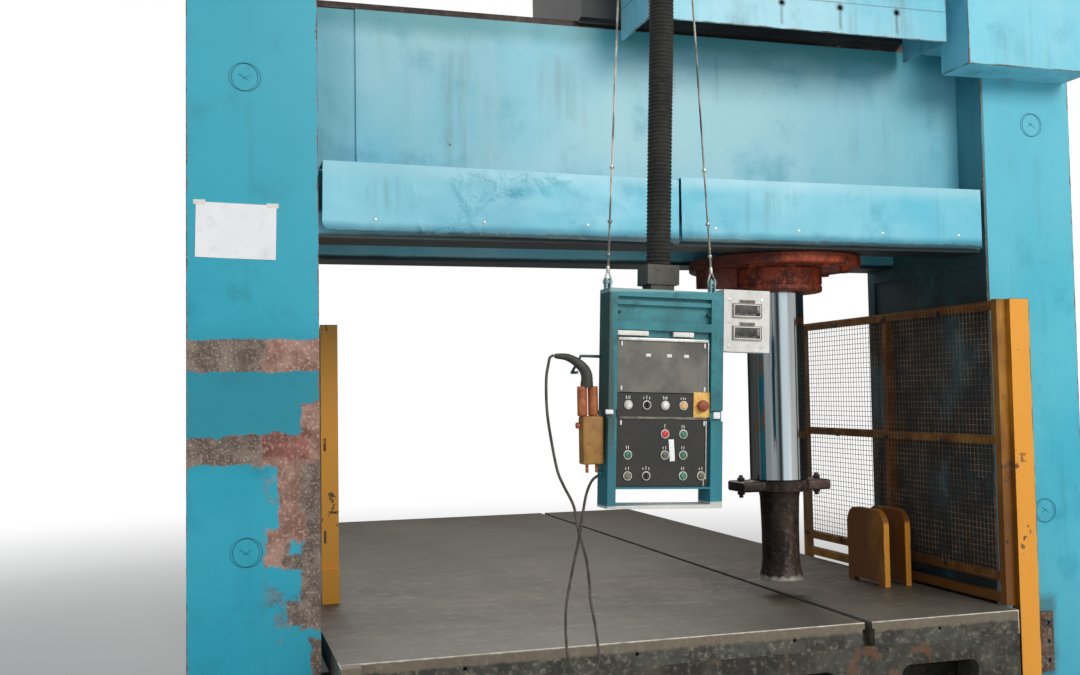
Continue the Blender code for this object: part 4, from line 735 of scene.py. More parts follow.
def bedTopMaterial():
    # worn machine steel: cloudy brown-grey, scuffed along the bed, with darker oil and a bright front edge
    material, tree, surface, place = newMaterial("bedSteel", 0.5, 0.12)
    _, y, z = split(tree, place)
    base = rusted(tree, place, 2.4, (54, 45, 34), (78, 68, 54), (108, 99, 84))
    tone = base["Color"]
    clouds = noise(tree, place, 1.1, 6, 0.6, (1, 0.5, 1))
    tone = tinted(tree, tone, (106, 101, 88), ramped(tree, clouds, 0.46, 0.66, 0.0, 0.7))
    oil = noise(tree, place, 1.7, 6, 0.62, shift=(4, 2, 0))
    tone = tinted(tree, tone, (46, 38, 29), ramped(tree, oil, 0.5, 0.68, 0.0, 0.75))
    scuffs = noise(tree, place, 14.0, 6, 0.7, (0.14, 1, 1), (0.4, 0, 0))
    tone = tinted(tree, tone, (140, 134, 120), ramped(tree, scuffs, 0.56, 0.68, 0.0, 0.4))
    dark = noise(tree, place, 9.0, 6, 0.7, (0.2, 1, 1), (7, 3, 0))
    tone = tinted(tree, tone, (52, 44, 36), ramped(tree, dark, 0.58, 0.72, 0.0, 0.6))
    # the front of the table is paler and cooler, the far end darker
    front = ramped(tree, plus(tree, y, times(tree, noise(tree, place, 2.0, 4), 0.5)), 0.3, -0.45)
    tone = tinted(tree, tone, (118, 115, 104), front, 0.45)
    tone = tinted(tree, tone, (56, 46, 34), ramped(tree, y, 0.2, 2.2, 0.0, 0.7))
    groove = patch(tree, place, (0.304, -0.684, 0.5), (0.308, -0.560, 0.7), 0.002)
    stain = patch(tree, tornVector(tree, place, 6.0, 0.08), (-1.38, -0.70, 0.59), (-1.10, -0.61, 0.61), 0.03)
    tone = tinted(tree, tone, (50, 46, 40), larger(tree, times(tree, groove, 0.8), times(tree, stain, 0.5)))
    # front face: weathered dark, then a lighter band, then the bright nicked edge
    face = ramped(tree, y, -0.715, -0.7265)
    grime = rusted(tree, place, 6.5, (44, 42, 36), (76, 76, 68), (128, 124, 110))["Color"]
    tone = mixed(tree, times(tree, face, ramped(tree, z, 0.598, 0.590)), tone, grime)
    torn = times(tree, minus(tree, noise(tree, place, 18.0, 6), 0.5), 0.03)
    band = ramped(tree, plus(tree, z, torn), 0.552, 0.566)
    tone = tinted(tree, tone, (134, 120, 100), face, band, 0.6)
    nick = useGroup(tree, "edgeWear", place, Low=(-1.48, -0.727, -2.0), High=(1.44, 6.0, 0.60),
                    Width=0.006, Ragged=0.012, Scale=22.0)["Mask"]
    tone = tinted(tree, tone, (226, 222, 210), nick, ramped(tree, y, -0.66, -0.70))
    slotEdge = patch(tree, tornVector(tree, place, 15.0, 0.008), (0.674, -0.74, 0.59), (0.721, 4.1, 0.61), 0.004)
    tone = tinted(tree, tone, (150, 146, 132), slotEdge, 0.5)
    toSurface(tree, surface, tone, plus(tree, times(tree, clouds, 0.35), 0.34))
    addBump(tree, surface, plus(tree, base["Height"], times(tree, scuffs, 0.5)), 0.3, 0.002)
    return material


def apronMaterial():
    # cast steel under years of grime, with runs and rust, darker towards the floor
    material, tree, surface, place = newMaterial("apronSteel", 0.7, 0.15)
    z = split(tree, place)[2]
    grime = rusted(tree, place, 5.5, (38, 36, 31), (70, 70, 62), (118, 112, 98))
    tone = grime["Color"]
    runs = useGroup(tree, "runs", place, Scale=9.0, Amount=0.7)["Mask"]
    tone = tinted(tree, tone, (98, 84, 66), runs)
    rust = useGroup(tree, "chips", place, Scale=9.0, Amount=0.5)["Mask"]
    tone = tinted(tree, tone, (112, 74, 48), rust, 0.6)
    tone = tinted(tree, tone, (30, 28, 24), ramped(tree, z, 0.30, 0.0, 0.0, 0.5))
    toSurface(tree, surface, tone)
    addBump(tree, surface, grime["Height"], 0.45, 0.003)
    return material


def guardYellow(name, low, high, shadeAndGreaseAmount, shadeAndGreaseTone):
    s = {"paint": ((214, 142, 22), (128, 76, 14), (240, 174, 56)), "scale": 2.4,
         "streaks": 0.4, "low": low, "high": high, "wear": 0.004, "ragged": 0.02, "chips": 0.42,
         "chipScale": 22.0, "runs": 0.5, "dirt": (84, 48, 12), "rough": 0.44,
         "under": tones((56, 36, 24), (110, 72, 44), (190, 150, 110))}

    def shadedAndGreased(tree, place, tone, bare):
        # old grease browns it unevenly, and the same brown is also painted shade, heaviest on the right guard and the
        # stops
        shadeAndGreaseMask = ramped(tree, noise(tree, place, 2.2, 5, 0.6, (1, 1, 0.4)), 0.30, 0.56, shadeAndGreaseAmount * 0.35, shadeAndGreaseAmount)
        tone = tinted(tree, tone, shadeAndGreaseTone, shadeAndGreaseMask)
        # painted highlight along the front edge, partly paint that sleeves and gloves rub bright
        y = split(tree, place)[1]
        rubbed = ramped(tree, plus(tree, y, times(tree, noise(tree, place, 30.0, 5), 0.006)),
                        low[1] + 0.0075, low[1] + 0.0035)
        return tinted(tree, tone, (246, 166, 48), rubbed, 0.9), bare
    return weatheredPaint(name, s, shadedAndGreased)


def rustyPrimer(name, dark, middle, bright, rough=0.62):
    # primer or bare rust, with painted shade darker to the left under the beam, and soot that has run down
    material, tree, surface, place = newMaterial(name, rough)
    rust = rusted(tree, place, 9.0, dark, middle, bright)
    tone = tinted(tree, rust["Color"], (66, 24, 14), ramped(tree, split(tree, place)[0], 0.62, 0.30, 0.0, 0.75))
    darkening = useGroup(tree, "runs", place, Scale=14.0, Amount=0.6)["Mask"]
    tone = tinted(tree, tone, (58, 34, 24), darkening)
    toSurface(tree, surface, tone)
    addBump(tree, surface, rust["Height"], 0.4, 0.002)
    return material


def chromeMaterial():
    # hard chrome with a thin oil film: faint upright bands that are painted reflection stripes and partly oil film,
    # and a fine turned grain
    material, tree, surface, place = newMaterial("rodChrome", 0.09, 1.0)
    around = put(tree, "Mapping", {"Vector": place, "Location": (-0.6914, 0, 0)}).outputs[0]
    reflectionAndOilBands = noise(tree, around, 13.0, 4, 0.6, (1, 1, 0.02))
    tone = mixed(tree, ramped(tree, reflectionAndOilBands, 0.42, 0.62), colour(172, 184, 190), colour(226, 228, 228))
    grain = noise(tree, place, 60.0, 3, 0.5, (0.4, 0.4, 12))
    smear = noise(tree, place, 7.0, 5, 0.6, (1, 1, 0.1))
    toSurface(tree, surface, tone, ramped(tree, smear, 0.35, 0.75, 0.05, 0.2))
    addBump(tree, surface, grain, 0.03, 0.0005)
    return material


def toolSteel(name, low, foot):
    # dark forged steel with painted shade on its left side, so browner to the right; bright and chipped at its foot
    material, tree, surface, place = newMaterial(name, 0.5, 0.6)
    x, y, z = split(tree, place)
    steel = rusted(tree, place, 8.0, (40, 32, 28), (84, 68, 60), (140, 122, 112))
    streaks = noise(tree, place, 12.0, 6, 0.65, (1, 1, 0.12))
    tone = tinted(tree, steel["Color"], (118, 96, 92), ramped(tree, streaks, 0.45, 0.66, 0.0, 0.6))
    # painted shade: darker on the left side
    side = ramped(tree, plus(tree, x, times(tree, y, 0.4)), 0.72, 0.60, 0.0, 0.75)
    tone = tinted(tree, tone, (22, 18, 16), side)
    if foot:
        torn = times(tree, noise(tree, place, 30.0, 6), 0.06)
        edge = ramped(tree, plus(tree, z, torn), low + 0.062, low + 0.038)
        tone = tinted(tree, tone, (212, 206, 196), edge, 0.85)
    toSurface(tree, surface, tone, ramped(tree, streaks, 0.3, 0.7, 0.35, 0.6))
    addBump(tree, surface, steel["Height"], 0.3, 0.0015)
    return material


# old teal enamel of the pendant, rubbed to bright metal at its edges
pendantPaintSet = {"paint": ((14, 106, 116), (8, 72, 80), (44, 138, 148)), "scale": 5.0, "streaks": 0.5,
                   "low": (-0.71, -1.545, 1.19), "high": (-0.31, -1.44, 1.90), "wear": 0.003, "ragged": 0.012,
                   "wearScale": 60.0, "chips": 0.2, "chipScale": 70.0, "runs": 0.5, "rough": 0.36, "bump": 0.15,
                   "under": tones((70, 90, 90), (130, 150, 148), (206, 214, 210))}


def pendantMarks(tree, place, tone, bare):
    # the left wall is painted shade in dull grey-green; the lower strips are bluer, the top lip and the foot pale
    x, _, z = split(tree, place)
    tone = tinted(tree, tone, (52, 66, 58), ramped(tree, x, -0.701, -0.7055), 0.8)
    tone = tinted(tree, tone, (14, 122, 142), ramped(tree, z, 1.50, 1.30, 0.0, 0.6))
    tone = tinted(tree, tone, (140, 176, 176), ramped(tree, z, 1.886, 1.894), 0.8)
    return tinted(tree, tone, (206, 208, 202), ramped(tree, z, 1.2135, 1.2075), 0.9), bare


def clearPlastic(name, rgb, rough=0.25):
    dark = tuple(0.55 * v for v in rgb)
    pale = tuple(min(255, v + 40) for v in rgb)
    return plainCoat(name, {"paint": (rgb, dark, pale), "scale": 30.0, "rough": rough, "bump": 0.1, "depth": 0.0003,
                            "streaks": 0.1})


def twoTone(tree, value, low, high, first, second):
    return mixed(tree, ramped(tree, value, low, high), colour(*first), colour(*second))


def displayMaterial():
    # matt grey sheet with a faint darker cloud and small scratches
    material, tree, surface, place = newMaterial("displaySheet", 0.32)
    clouds = noise(tree, place, 9.0, 5, 0.55)
    tone = twoTone(tree, clouds, 0.35, 0.65, (82, 80, 76), (112, 109, 101))
    scratch = noise(tree, place, 160.0, 4, 0.7, (0.1, 1, 1))
    tone = tinted(tree, tone, (150, 148, 140), ramped(tree, scratch, 0.66, 0.74, 0.0, 0.35))
    toSurface(tree, surface, tone, ramped(tree, clouds, 0.3, 0.7, 0.24, 0.42))
    addBump(tree, surface, scratch, 0.05, 0.0003)
    return material


def wireMaterial():
    # bright drawn wire with soot in its lay
    material, tree, surface, place = newMaterial("ropeWire", 0.38, 0.85)
    darkening = noise(tree, place, 40.0, 5, 0.6, (1, 1, 0.3))
    toSurface(tree, surface, twoTone(tree, darkening, 0.4, 0.65, (120, 118, 112), (206, 204, 196)))
    addBump(tree, surface, darkening, 0.1, 0.0004)
    return material


def conduitMaterial():
    # dark grey hose whose ribs are rubbed lighter
    material, tree, surface, place = newMaterial("conduitRibs", 0.85)
    clouds = noise(tree, place, 6.0, 5, 0.6)
    tone = twoTone(tree, clouds, 0.35, 0.68, (16, 16, 13), (32, 32, 27))
    rub = ramped(tree, noise(tree, place, 30.0, 5, 0.65, (1, 1, 3)), 0.5, 0.68, 0.0, 0.45)
    toSurface(tree, surface, tinted(tree, tone, (62, 62, 54), rub))
    addBump(tree, surface, clouds, 0.15, 0.0008)
    return material


# each coat: its material's name, its three tones, and what differs from a plain one
coats = {
    "black": ("blackCoat", ((26, 27, 28), (12, 12, 12), (52, 54, 54)),
              {"scale": 2.0, "rough": 0.55, "chips": 0.2, "under": steelTones}),
    "panel": ("panelBlack", ((22, 21, 18), (12, 12, 10), (36, 34, 29)),
              {"scale": 14.0, "rough": 0.42, "depth": 0.0004}),
    "meterWhite": ("meterCase", ((208, 207, 203), (176, 174, 166), (226, 226, 223)),
                   {"scale": 12.0, "rough": 0.4, "depth": 0.0004}),
    "rubber": ("conduitRubber", ((44, 44, 38), (22, 22, 19), (84, 84, 74)),
               {"scale": 7.0, "rough": 0.6, "depth": 0.0006}),
    "cordRubber": ("cordRubber", ((54, 48, 42), (28, 24, 22), (92, 84, 74)), {"scale": 24.0, "depth": 0.0003}),
    "ochre": ("handsetOchre", ((140, 94, 34), (86, 52, 18), (168, 122, 54)),
              {"scale": 16.0, "rough": 0.45, "chips": 0.3, "chipScale": 60.0, "depth": 0.0004}),
    "orangeGrip": ("gripOrange", ((150, 76, 34), (98, 42, 20), (190, 112, 60)), {"scale": 20.0, "depth": 0.0004}),
    "meshRust": ("meshWire", ((96, 66, 44), (46, 32, 22), (168, 132, 100)),
                 {"scale": 9.0, "rough": 0.6, "metal": 0.3}),
    "paper": ("blankPaper", ((240, 240, 243), (222, 222, 226), (246, 246, 248)),
              {"scale": 5.0, "rough": 0.6, "depth": 0.0006}),
    "markWhite": ("markWhite", ((224, 222, 214), (160, 156, 146), (242, 240, 234)), {"scale": 40.0, "depth": 0.0002}),
    "screw": ("screwSteel", ((196, 194, 186), (112, 108, 100), (230, 228, 222)),
              {"scale": 50.0, "rough": 0.3, "metal": 0.8, "depth": 0.0002})}
plastics = {
    "white": ("capWhite", (222, 220, 214)), "red": ("capRed", (206, 30, 40)), "green": ("capGreen", (44, 108, 80)),
    "amber": ("capAmber", (214, 160, 84)), "grey": ("capGrey", (92, 88, 74)),
    "blackPlastic": ("knobBlack", (26, 25, 24), 0.35), "stopRed": ("stopRed", (138, 52, 26), 0.4),
    "stopYellow": ("stopPlate", (226, 168, 72), 0.5)}
finishes.update({
    "conduitRibs": conduitMaterial(), "bed": bedTopMaterial(), "apron": apronMaterial(),
    "rightGuard": guardYellow("rightGuardYellow", (1.47, -0.69, 0.0), (1.58, 1.163, 1.957), 0.95, (108, 62, 16)),
    "leftGuard": guardYellow("leftGuardYellow", (-1.424, 0.54, 0.60), (-1.324, 1.48, 1.911), 0.35, (134, 80, 18)),
    "stop": guardYellow("stopYellow", (1.225, -0.045, 0.60), (1.375, 0.28, 0.97), 0.95, (104, 54, 10)),
    "primer": rustyPrimer("orangePrimer", (84, 26, 6), (164, 56, 12), (208, 98, 36)),
    "rust": rustyPrimer("bareRust", (56, 40, 32), (112, 90, 74), (160, 140, 122), 0.8),
    "chrome": chromeMaterial(), "clamp": toolSteel("clampSteel", 1.09, False),
    "punch": toolSteel("punchSteel", 0.67, True),
    "pendant": weatheredPaint("pendantPaint", pendantPaintSet, pendantMarks),
    "display": displayMaterial(), "wire": wireMaterial()})
finishes.update({key: plainCoat(name, {"paint": paint, **own}) for key, (name, paint, own) in coats.items()})
finishes.update({key: clearPlastic(*values) for key, values in plastics.items()})
print("finishes made:", len(finishes))


# ---- the handset's cord, the conduit and the two ropes ----
def smoothPoints(route, spacing):
    line = [Vector(p) for p in route]
    line = [2 * line[0] - line[1]] + line + [2 * line[-1] - line[-2]]
    points = []
    for a, b, c, d in zip(line, line[1:], line[2:], line[3:]):
        steps = max(1, round((c - b).length / spacing))
        for k in range(steps):
            t = k / steps
            points.append(0.5 * (2 * b + (c - a) * t + (2 * a - 5 * b + 4 * c - d) * t ** 2
                                 + (3 * b - a - 3 * c + d) * t ** 3))
    return points + [line[-2]]


def tubeCurve(name, points, radius, sides=3):
    data = bpy.data.curves.new(name, "CURVE")
    data.dimensions = "3D"
    data.bevel_depth = radius
    data.bevel_resolution = sides
    data.use_fill_caps = True
    line = data.splines.new("POLY")
    line.points.add(len(points) - 1)
    for point, place in zip(line.points, points):
        point.co = (*place, 1)
    return linked(name, data)


cordSet = {"radius": 0.0045, "route": (
    (-0.8811, -1.490, 1.6875), (-0.8892, -1.490, 1.6886), (-0.8985, -1.490, 1.6830), (-0.9045, -1.491, 1.6600),
    (-0.9125, -1.492, 1.6120), (-0.9120, -1.493, 1.5170), (-0.9000, -1.494, 1.4230), (-0.8820, -1.495, 1.3280),
    (-0.8630, -1.496, 1.2800), (-0.8310, -1.496, 1.2160), (-0.8190, -1.497, 1.1530), (-0.8060, -1.498, 1.0990),
    (-0.7910, -1.498, 1.0420), (-0.7820, -1.497, 0.9630), (-0.7800, -1.496, 0.9160), (-0.7680, -1.495, 0.8520),
    (-0.7590, -1.494, 0.7890), (-0.7540, -1.492, 0.7300), (-0.7730, -1.490, 0.6920), (-0.8120, -1.487, 0.6860),
    (-0.8480, -1.484, 0.7250), (-0.8580, -1.482, 0.7970), (-0.8560, -1.480, 0.8900), (-0.8420, -1.479, 0.9670),
    (-0.8240, -1.478, 1.0440), (-0.8090, -1.478, 1.1050), (-0.7980, -1.479, 1.1680), (-0.7830, -1.482, 1.2460),
    (-0.7650, -1.486, 1.2890), (-0.7449, -1.4895, 1.3059))}


def addCord(s):
    points = smoothPoints(s["route"], 0.009)
    cord = tubeCurve("handsetCord", points, s["radius"], 3)
    cord.data.materials.append(finishes["cordRubber"])
    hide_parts("handset_cord")
    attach(cord, "pendant")


addCord(cordSet)

pendantSet = {"x": -0.519, "face": -1.537, "top": 1.896, "roll": 2.0, "depth": 0.095}
pendantTurn = Matrix.Rotation(math.radians(pendantSet["roll"]), 4, "Y")
hangY = -1.4895
pendantPlace = Matrix.Translation((pendantSet["x"], pendantSet["face"], pendantSet["top"])) @ pendantTurn


def onPendant(u, depth, w):
    return pendantPlace @ Vector((u, depth, w))


def hangOnPendant(obj):
    # modelled upright in the pendant's own frame, then turned and set at its place
    obj.data.transform(pendantPlace)
    obj.data.update()
    return obj


def sweepRings(name, points, radii, sides):
    # rings along a line, each square to it, bridged into a skin and closed at both ends
    rings, mesh = [], bmesh.new()
    for k, point in enumerate(points):
        along = (points[min(k + 1, len(points) - 1)] - points[max(k - 1, 0)]).normalized()
        across = along.cross(Vector((0, 1, 0))).normalized()
        other = along.cross(across)
        rings.append([mesh.verts.new(point + radii[k] * (across * math.cos(a) + other * math.sin(a)))
                      for a in (math.tau * n / sides for n in range(sides))])
    for low, high in zip(rings, rings[1:]):
        for n in range(sides):
            mesh.faces.new((low[n], low[(n + 1) % sides], high[(n + 1) % sides], high[n]))
    mesh.faces.new(rings[0][::-1])
    mesh.faces.new(rings[-1])
    bmesh.ops.recalc_face_normals(mesh, faces=mesh.faces)
    data = bpy.data.meshes.new(name)
    mesh.to_mesh(data)
    mesh.free()
    return linked(name, data)


# the conduit's foot in the pendant's own frame, and its upper points in the room
conduitSet = {"radius": 0.0375, "rib": 0.0405, "pitch": 0.0125, "sides": 28, "shift": -0.007,
              "foot": (0.0823, 0.5, 0.95),
              "upper": ((-0.4955, 3.20), (-0.5075, 3.50), (-0.5075, 3.68), (-0.5075, 3.78))}


def addConduit(s):
    # a corrugated hose: each rib is a rise and a fall of the ring's radius
    route = [onPendant(s["shift"], pendantSet["depth"] / 2, rise) for rise in s["foot"]]
    route += [Vector((x, hangY, z)) for x, z in s["upper"]]
    coarse = smoothPoints(route, 0.02)
    spots, carried = [coarse[0]], 0.0
    step = s["pitch"] / 4
    for a, b in zip(coarse, coarse[1:]):
        gap = (b - a).length
        while carried + step <= gap:
            carried += step
            spots.append(a.lerp(b, carried / gap))
        carried -= gap
    radii = [s["rib"] if k % 4 in (1, 2) else s["radius"] for k in range(len(spots))]
    hose = smooth(sweepRings("ribbedConduit", spots, radii, s["sides"]), 60)
    finishPiece(hose, "pendant", "conduitRibs", "conduit", slot="conduit_rubber")


ropeSet = {"strand": 0.0019, "lay": 0.045, "step": 0.006, "start": 0.034, "end": 0.020, "neck": 0.040,
           "eye": 0.0145, "loop": 0.0026, "foot": 1.925, "top": 3.84, "clips": (
               (0.040, 0.0060, 0.022), (0.088, 0.0075, 0.010), (0.196, 0.0075, 0.010), (0.375, 0.0075, 0.010)),
           "ropes": (("left", -0.700, -0.588), ("right", -0.334, -0.427))}


def ropeBetween(s, name, foot, top):
    # three strands twisted round the line, with a teardrop loop, clips and a crimped sleeve at the foot
    along = (top - foot).normalized()
    across = along.cross(Vector((0, 1, 0))).normalized()
    other = along.cross(across)
    start, end = foot + along * s["start"], top - along * s["end"]
    length = (end - start).length
    parts = []
    for strand in range(3):
        points = []
        count = int(length / s["step"])
        for k in range(count + 1):
            turn = math.tau * (k / count * length / s["lay"] + strand / 3)
            points.append(start + along * (length * k / count)
                          + s["strand"] * (across * math.cos(turn) + other * math.sin(turn)))
        parts.append(sweepRings(f"{name}Strand{strand}", points, [s["strand"]] * len(points), 5))
    # the loop round the foot pin: a ring that comes to a point where the sleeve grips it
    loop = [foot + s["eye"] * (across * math.sin(a) * -1 - along * math.cos(a)) for a in
            (math.radians(v) for v in range(-125, 126, 10))]
    neck = foot + along * s["neck"]
    loopLine = smoothPoints([neck] + loop + [neck], 0.004)
    for point in loopLine:
        point.y = foot.y
    parts.append(sweepRings(f"{name}Loop", loopLine, [s["loop"]] * len(loopLine), 8))
    ring = [top + s["eye"] * (across * math.cos(a) + along * math.sin(a)) for a in
            (math.tau * n / 24 for n in range(25))]
    parts.append(sweepRings(f"{name}Ring", ring, [s["loop"]] * len(ring), 8))
    for rise, radius, tall in s["clips"]:
        middle = foot + along * rise
        clip = roundAt(f"{name}Clip", radius, middle - along * tall / 2, middle + along * tall / 2, 12)
        parts.append(bevelled(clip, 0.0022, 2))
    return smooth(joined(name, parts), 50)


for side, footX, topX in ropeSet["ropes"]:
    rope = ropeBetween(ropeSet, f"{side}Rope", Vector((footX, hangY, ropeSet["foot"])),
                       Vector((topX, hangY, ropeSet["top"])))
    finishPiece(rope, "pendant", "wire", f"rope_{side}", slot="wire_rope")
addConduit(conduitSet)
print("cord, ropes and conduit modelled")


# ---- the hand control that hangs in its holder beside the pendant ----
handsetSet = {"y": -1.490, "boot": ((-0.7775, 1.5860), (-0.7780, 1.628), (-0.7970, 1.657), (-0.8370, 1.6815),
                                    (-0.8806, 1.6874)),
              "bootRadii": (0.0205, 0.0190, 0.0160, 0.0117, 0.0078), "bootMarks": (0.0, 0.25, 0.5, 0.78, 1.0),
              "box": ((-0.8005, -1.5145, 1.3425), (-0.7305, -1.4655, 1.4955)),
              "grips": (-0.7575, -0.7935), "stubs": (-0.7815, -0.7495)}


def addHandset(s):
    # a housing with soft corners, a lid seam round it and a rubber gaiter that narrows to the cord
    low, high = s["box"]
    body = bevelled(cubeAt("handsetBody", low, high), 0.006, 4, 35)
    lid = bevelled(cubeAt("handsetLid", (high[0] - 0.0015, low[1] + 0.004, low[2] + 0.004),
                          (high[0] + 0.0004, high[1] - 0.004, high[2] - 0.004)), 0.0007, 2)
    case = smooth(joined("handsetCase", [body, lid]), 40)
    finishPiece(case, "pendant", "ochre", "handset", slot="ochre_plastic")
    for k, x in enumerate(s["grips"]):
        grip = roundAt(f"handsetGrip{k}", 0.0162, (x, s["y"], 1.4955), (x, s["y"], 1.590), 28)
        grip = bevelled(grip, 0.0045, 4, 40)
        finishPiece(smooth(grip, 50), "pendant", "orangeGrip", "handset", slot="ochre_plastic")
    knob = roundAt("handsetKnob", 0.0098, (-0.8004, s["y"], 1.466), (-0.8158, s["y"], 1.466), 28)
    finishPiece(smooth(bevelled(knob, 0.0028, 4, 40), 50), "pendant", "stopRed", "handset", slot="red_cap")
    line = smoothPoints([(x, s["y"], z) for x, z in s["boot"]], 0.0045)
    lengths = [0.0]
    for a, b in zip(line, line[1:]):
        lengths.append(lengths[-1] + (b - a).length)
    radii = []
    for k, along in enumerate(lengths):
        share = along / lengths[-1]
        base = float(np.interp(share, s["bootMarks"], s["bootRadii"]))
        # every second ring is narrower, which makes the gaiter's folds
        radii.append(base * (0.93 if k % 2 and 0.1 < share < 0.85 else 1.0))
    boot = smooth(sweepRings("handsetBoot", line, radii, 28), 60)
    finishPiece(boot, "pendant", "rubber", "handset", slot="conduit_rubber")
    for k, x in enumerate(s["stubs"]):
        stub = bevelled(roundAt(f"handsetStub{k}", 0.0050, (x, s["y"], 1.3160), (x, s["y"], 1.3427), 16), 0.001, 2)
        finishPiece(smooth(stub, 50), "pendant", "orangeGrip", "handset", slot="ochre_plastic")
    print("handset modelled")


addHandset(handsetSet)


# ---- the pendant's controls, screws, labels and meters, in its own upright frame ----
controlSet = {"left": -0.120, "pitch": 0.0635, "rows": (-0.3710, -0.4625, -0.5300, -0.5965), "deep": -0.034, "spots": {
    "white_button_left": (0, 0, "white"), "upper_selector": (1, 0, "turn"), "white_button_right": (2, 0, "white"),
    "amber_button": (3, 0, "amber"), "emergency_stop": (4, 0, "stop"), "red_button": (2, 1, "red"),
    "green_button_upper": (3, 1, "green"), "green_button_left": (0, 2, "green"), "grey_button_middle": (2, 2, "grey"),
    "green_button_middle": (3, 2, "green"), "grey_button_left": (0, 3, "grey"), "lower_selector": (1, 3, "turn"),
    "green_button_lower": (3, 3, "green"), "grey_button_right": (4, 3, "grey")}}


def pendantBox(name, u, depth, w, edge=0.0008):
    box = cubeAt(name, (u[0], depth[0], w[0]), (u[1], depth[1], w[1]))
    return bevelled(box, edge, 2)


def pendantBoxes(name, finish, slotName, rows):
    # each row: a name, and its reach across, in depth and upward, and its soft edge
    parts = [pendantBox(*row) for row in rows]
    return hang(joined(name, parts), finish, slotName)


def pendantDisc(name, profile, u, w, sides=40):
    # a turned piece whose axis points out of the pendant's face
    return spun(name, profile, (u, 0.0, w), sides, (0, -1, 0))


def hang(obj, finish, slotName, *nodes, body="pendant"):
    return finishPiece(hangOnPendant(obj), body, finish, *nodes, slot=slotName)


def controlSpots(s):
    for node, (column, row, kind) in s["spots"].items():
        yield node, s["left"] + s["pitch"] * column, s["rows"][row], kind


def addControls(s):
    # each cap has a domed edge; the chrome bezels stay with the panel
    deep = s["deep"]
    cap = ((0, -0.0028), (0.0062, -0.0028), (0.0092, -0.0034), (0.0106, -0.0050), (0.0110, -0.0075), (0.0110, deep),
           (0, deep))
    stem = ((0, -0.004), (0.0090, -0.004), (0.0102, -0.0052), (0.0110, -0.0085), (0.0110, deep), (0, deep))
    mushroom = ((0, 0.0128), (0.0080, 0.0126), (0.0140, 0.0112), (0.0176, 0.0078), (0.0189, 0.0030),
                (0.0186, -0.0010), (0.0172, -0.0026), (0.0108, -0.0028), (0.0108, deep), (0, deep))
    ring = ((0.0113, -0.0121), (0.0113, -0.0074), (0.0120, -0.0068), (0.0141, -0.0070), (0.0149, -0.0082),
            (0.0151, -0.0121))
    bezels = []
    for node, u, w, kind in controlSpots(s):
        spot = node.replace("_", " ").title().replace(" ", "")
        piece = pendantDisc(f"cap{spot}", {"turn": stem, "stop": mushroom}.get(kind, cap), u, w)
        if kind == "turn":
            grip = pendantBox(f"grip{spot}", (u - 0.0024, u + 0.0024), (-0.0048, 0.0060), (w - 0.0098, w + 0.0098),
                              0.0010)
            piece = smooth(joined(f"cap{spot}", [piece, grip]), 35)
        finish, slotName = {"turn": ("blackPlastic", "black_cap"),
                            "stop": ("stopRed", "red_cap")}.get(kind, (kind, f"{kind}_cap"))
        hang(piece, finish, slotName, node, body=node)
        if kind != "stop":
            bezels.append(pendantDisc(f"bezel{spot}", ring, u, w, 36))
        else:
            stopU, stopW = u, w
    hang(joined("controlBezels", bezels), "screw", "chrome")
    plate = pendantBox("stopPlate", (stopU - 0.0285, stopU + 0.0285), (0.0085, 0.0118),
                       (stopW - 0.0375, stopW + 0.0440), 0.0010)
    hang(plate, "stopYellow", "yellow_paint")
    print("controls:", len(s["spots"]))


def addMarks(s):
    # short plain strokes painted over each control, and small white labels: none of them says anything
    half, rise, strokes = 0.0011, 0.0185, []
    patterns = {"white": ((-0.006, 0.011), (0.0, 0.008), (0.006, 0.011)), "green": ((-0.0035, 0.010), (0.0035, 0.010)),
                "grey": ((-0.005, 0.008), (0.004, 0.010)), "red": ((0.0, 0.013),), "stop": (),
                "amber": ((-0.008, 0.007), (0.0, 0.009), (0.007, 0.006)),
                "turn": ((-0.010, 0.008), (0.0, 0.012), (0.010, 0.008))}
    for node, u, w, kind in controlSpots(s):
        for k, (shift, tall) in enumerate(patterns[kind]):
            strokes.append((f"stroke{node}{k}", (u + shift - half, u + shift + half), (0.0112, 0.0118),
                            (w + rise, w + rise + tall), 0.0002))
    strokes += [("label", (u - 0.0085, u + 0.0085), (0.0108, 0.0116), (-0.2165, -0.2065), 0.0003)
                for u in (-0.052, 0.020, 0.080)]
    pendantBoxes("paintedMarks", "markWhite", "pale_plastic", strokes)
    pendantBoxes("blankStrips", "markWhite", "pale_plastic", (
        ("stripLeft", (-0.1615, -0.0560), (0.0006, 0.0100), (-0.1495, -0.1345), 0.0006),
        ("stripRight", (0.0300, 0.1010), (0.0006, 0.0100), (-0.1495, -0.1345), 0.0006)))
    # the tag hangs a little askew
    tag = pendantBox("hungTag", (0.0225, 0.0405), (0.0098, 0.0108), (-0.5500, -0.4800), 0.0003)
    tag.data.transform(Matrix.Translation((0.030, 0, -0.515)) @ Matrix.Rotation(math.radians(-4), 4, "Y")
                       @ Matrix.Translation((-0.030, 0, 0.515)))
    hang(tag, "paper", "pale_plastic")


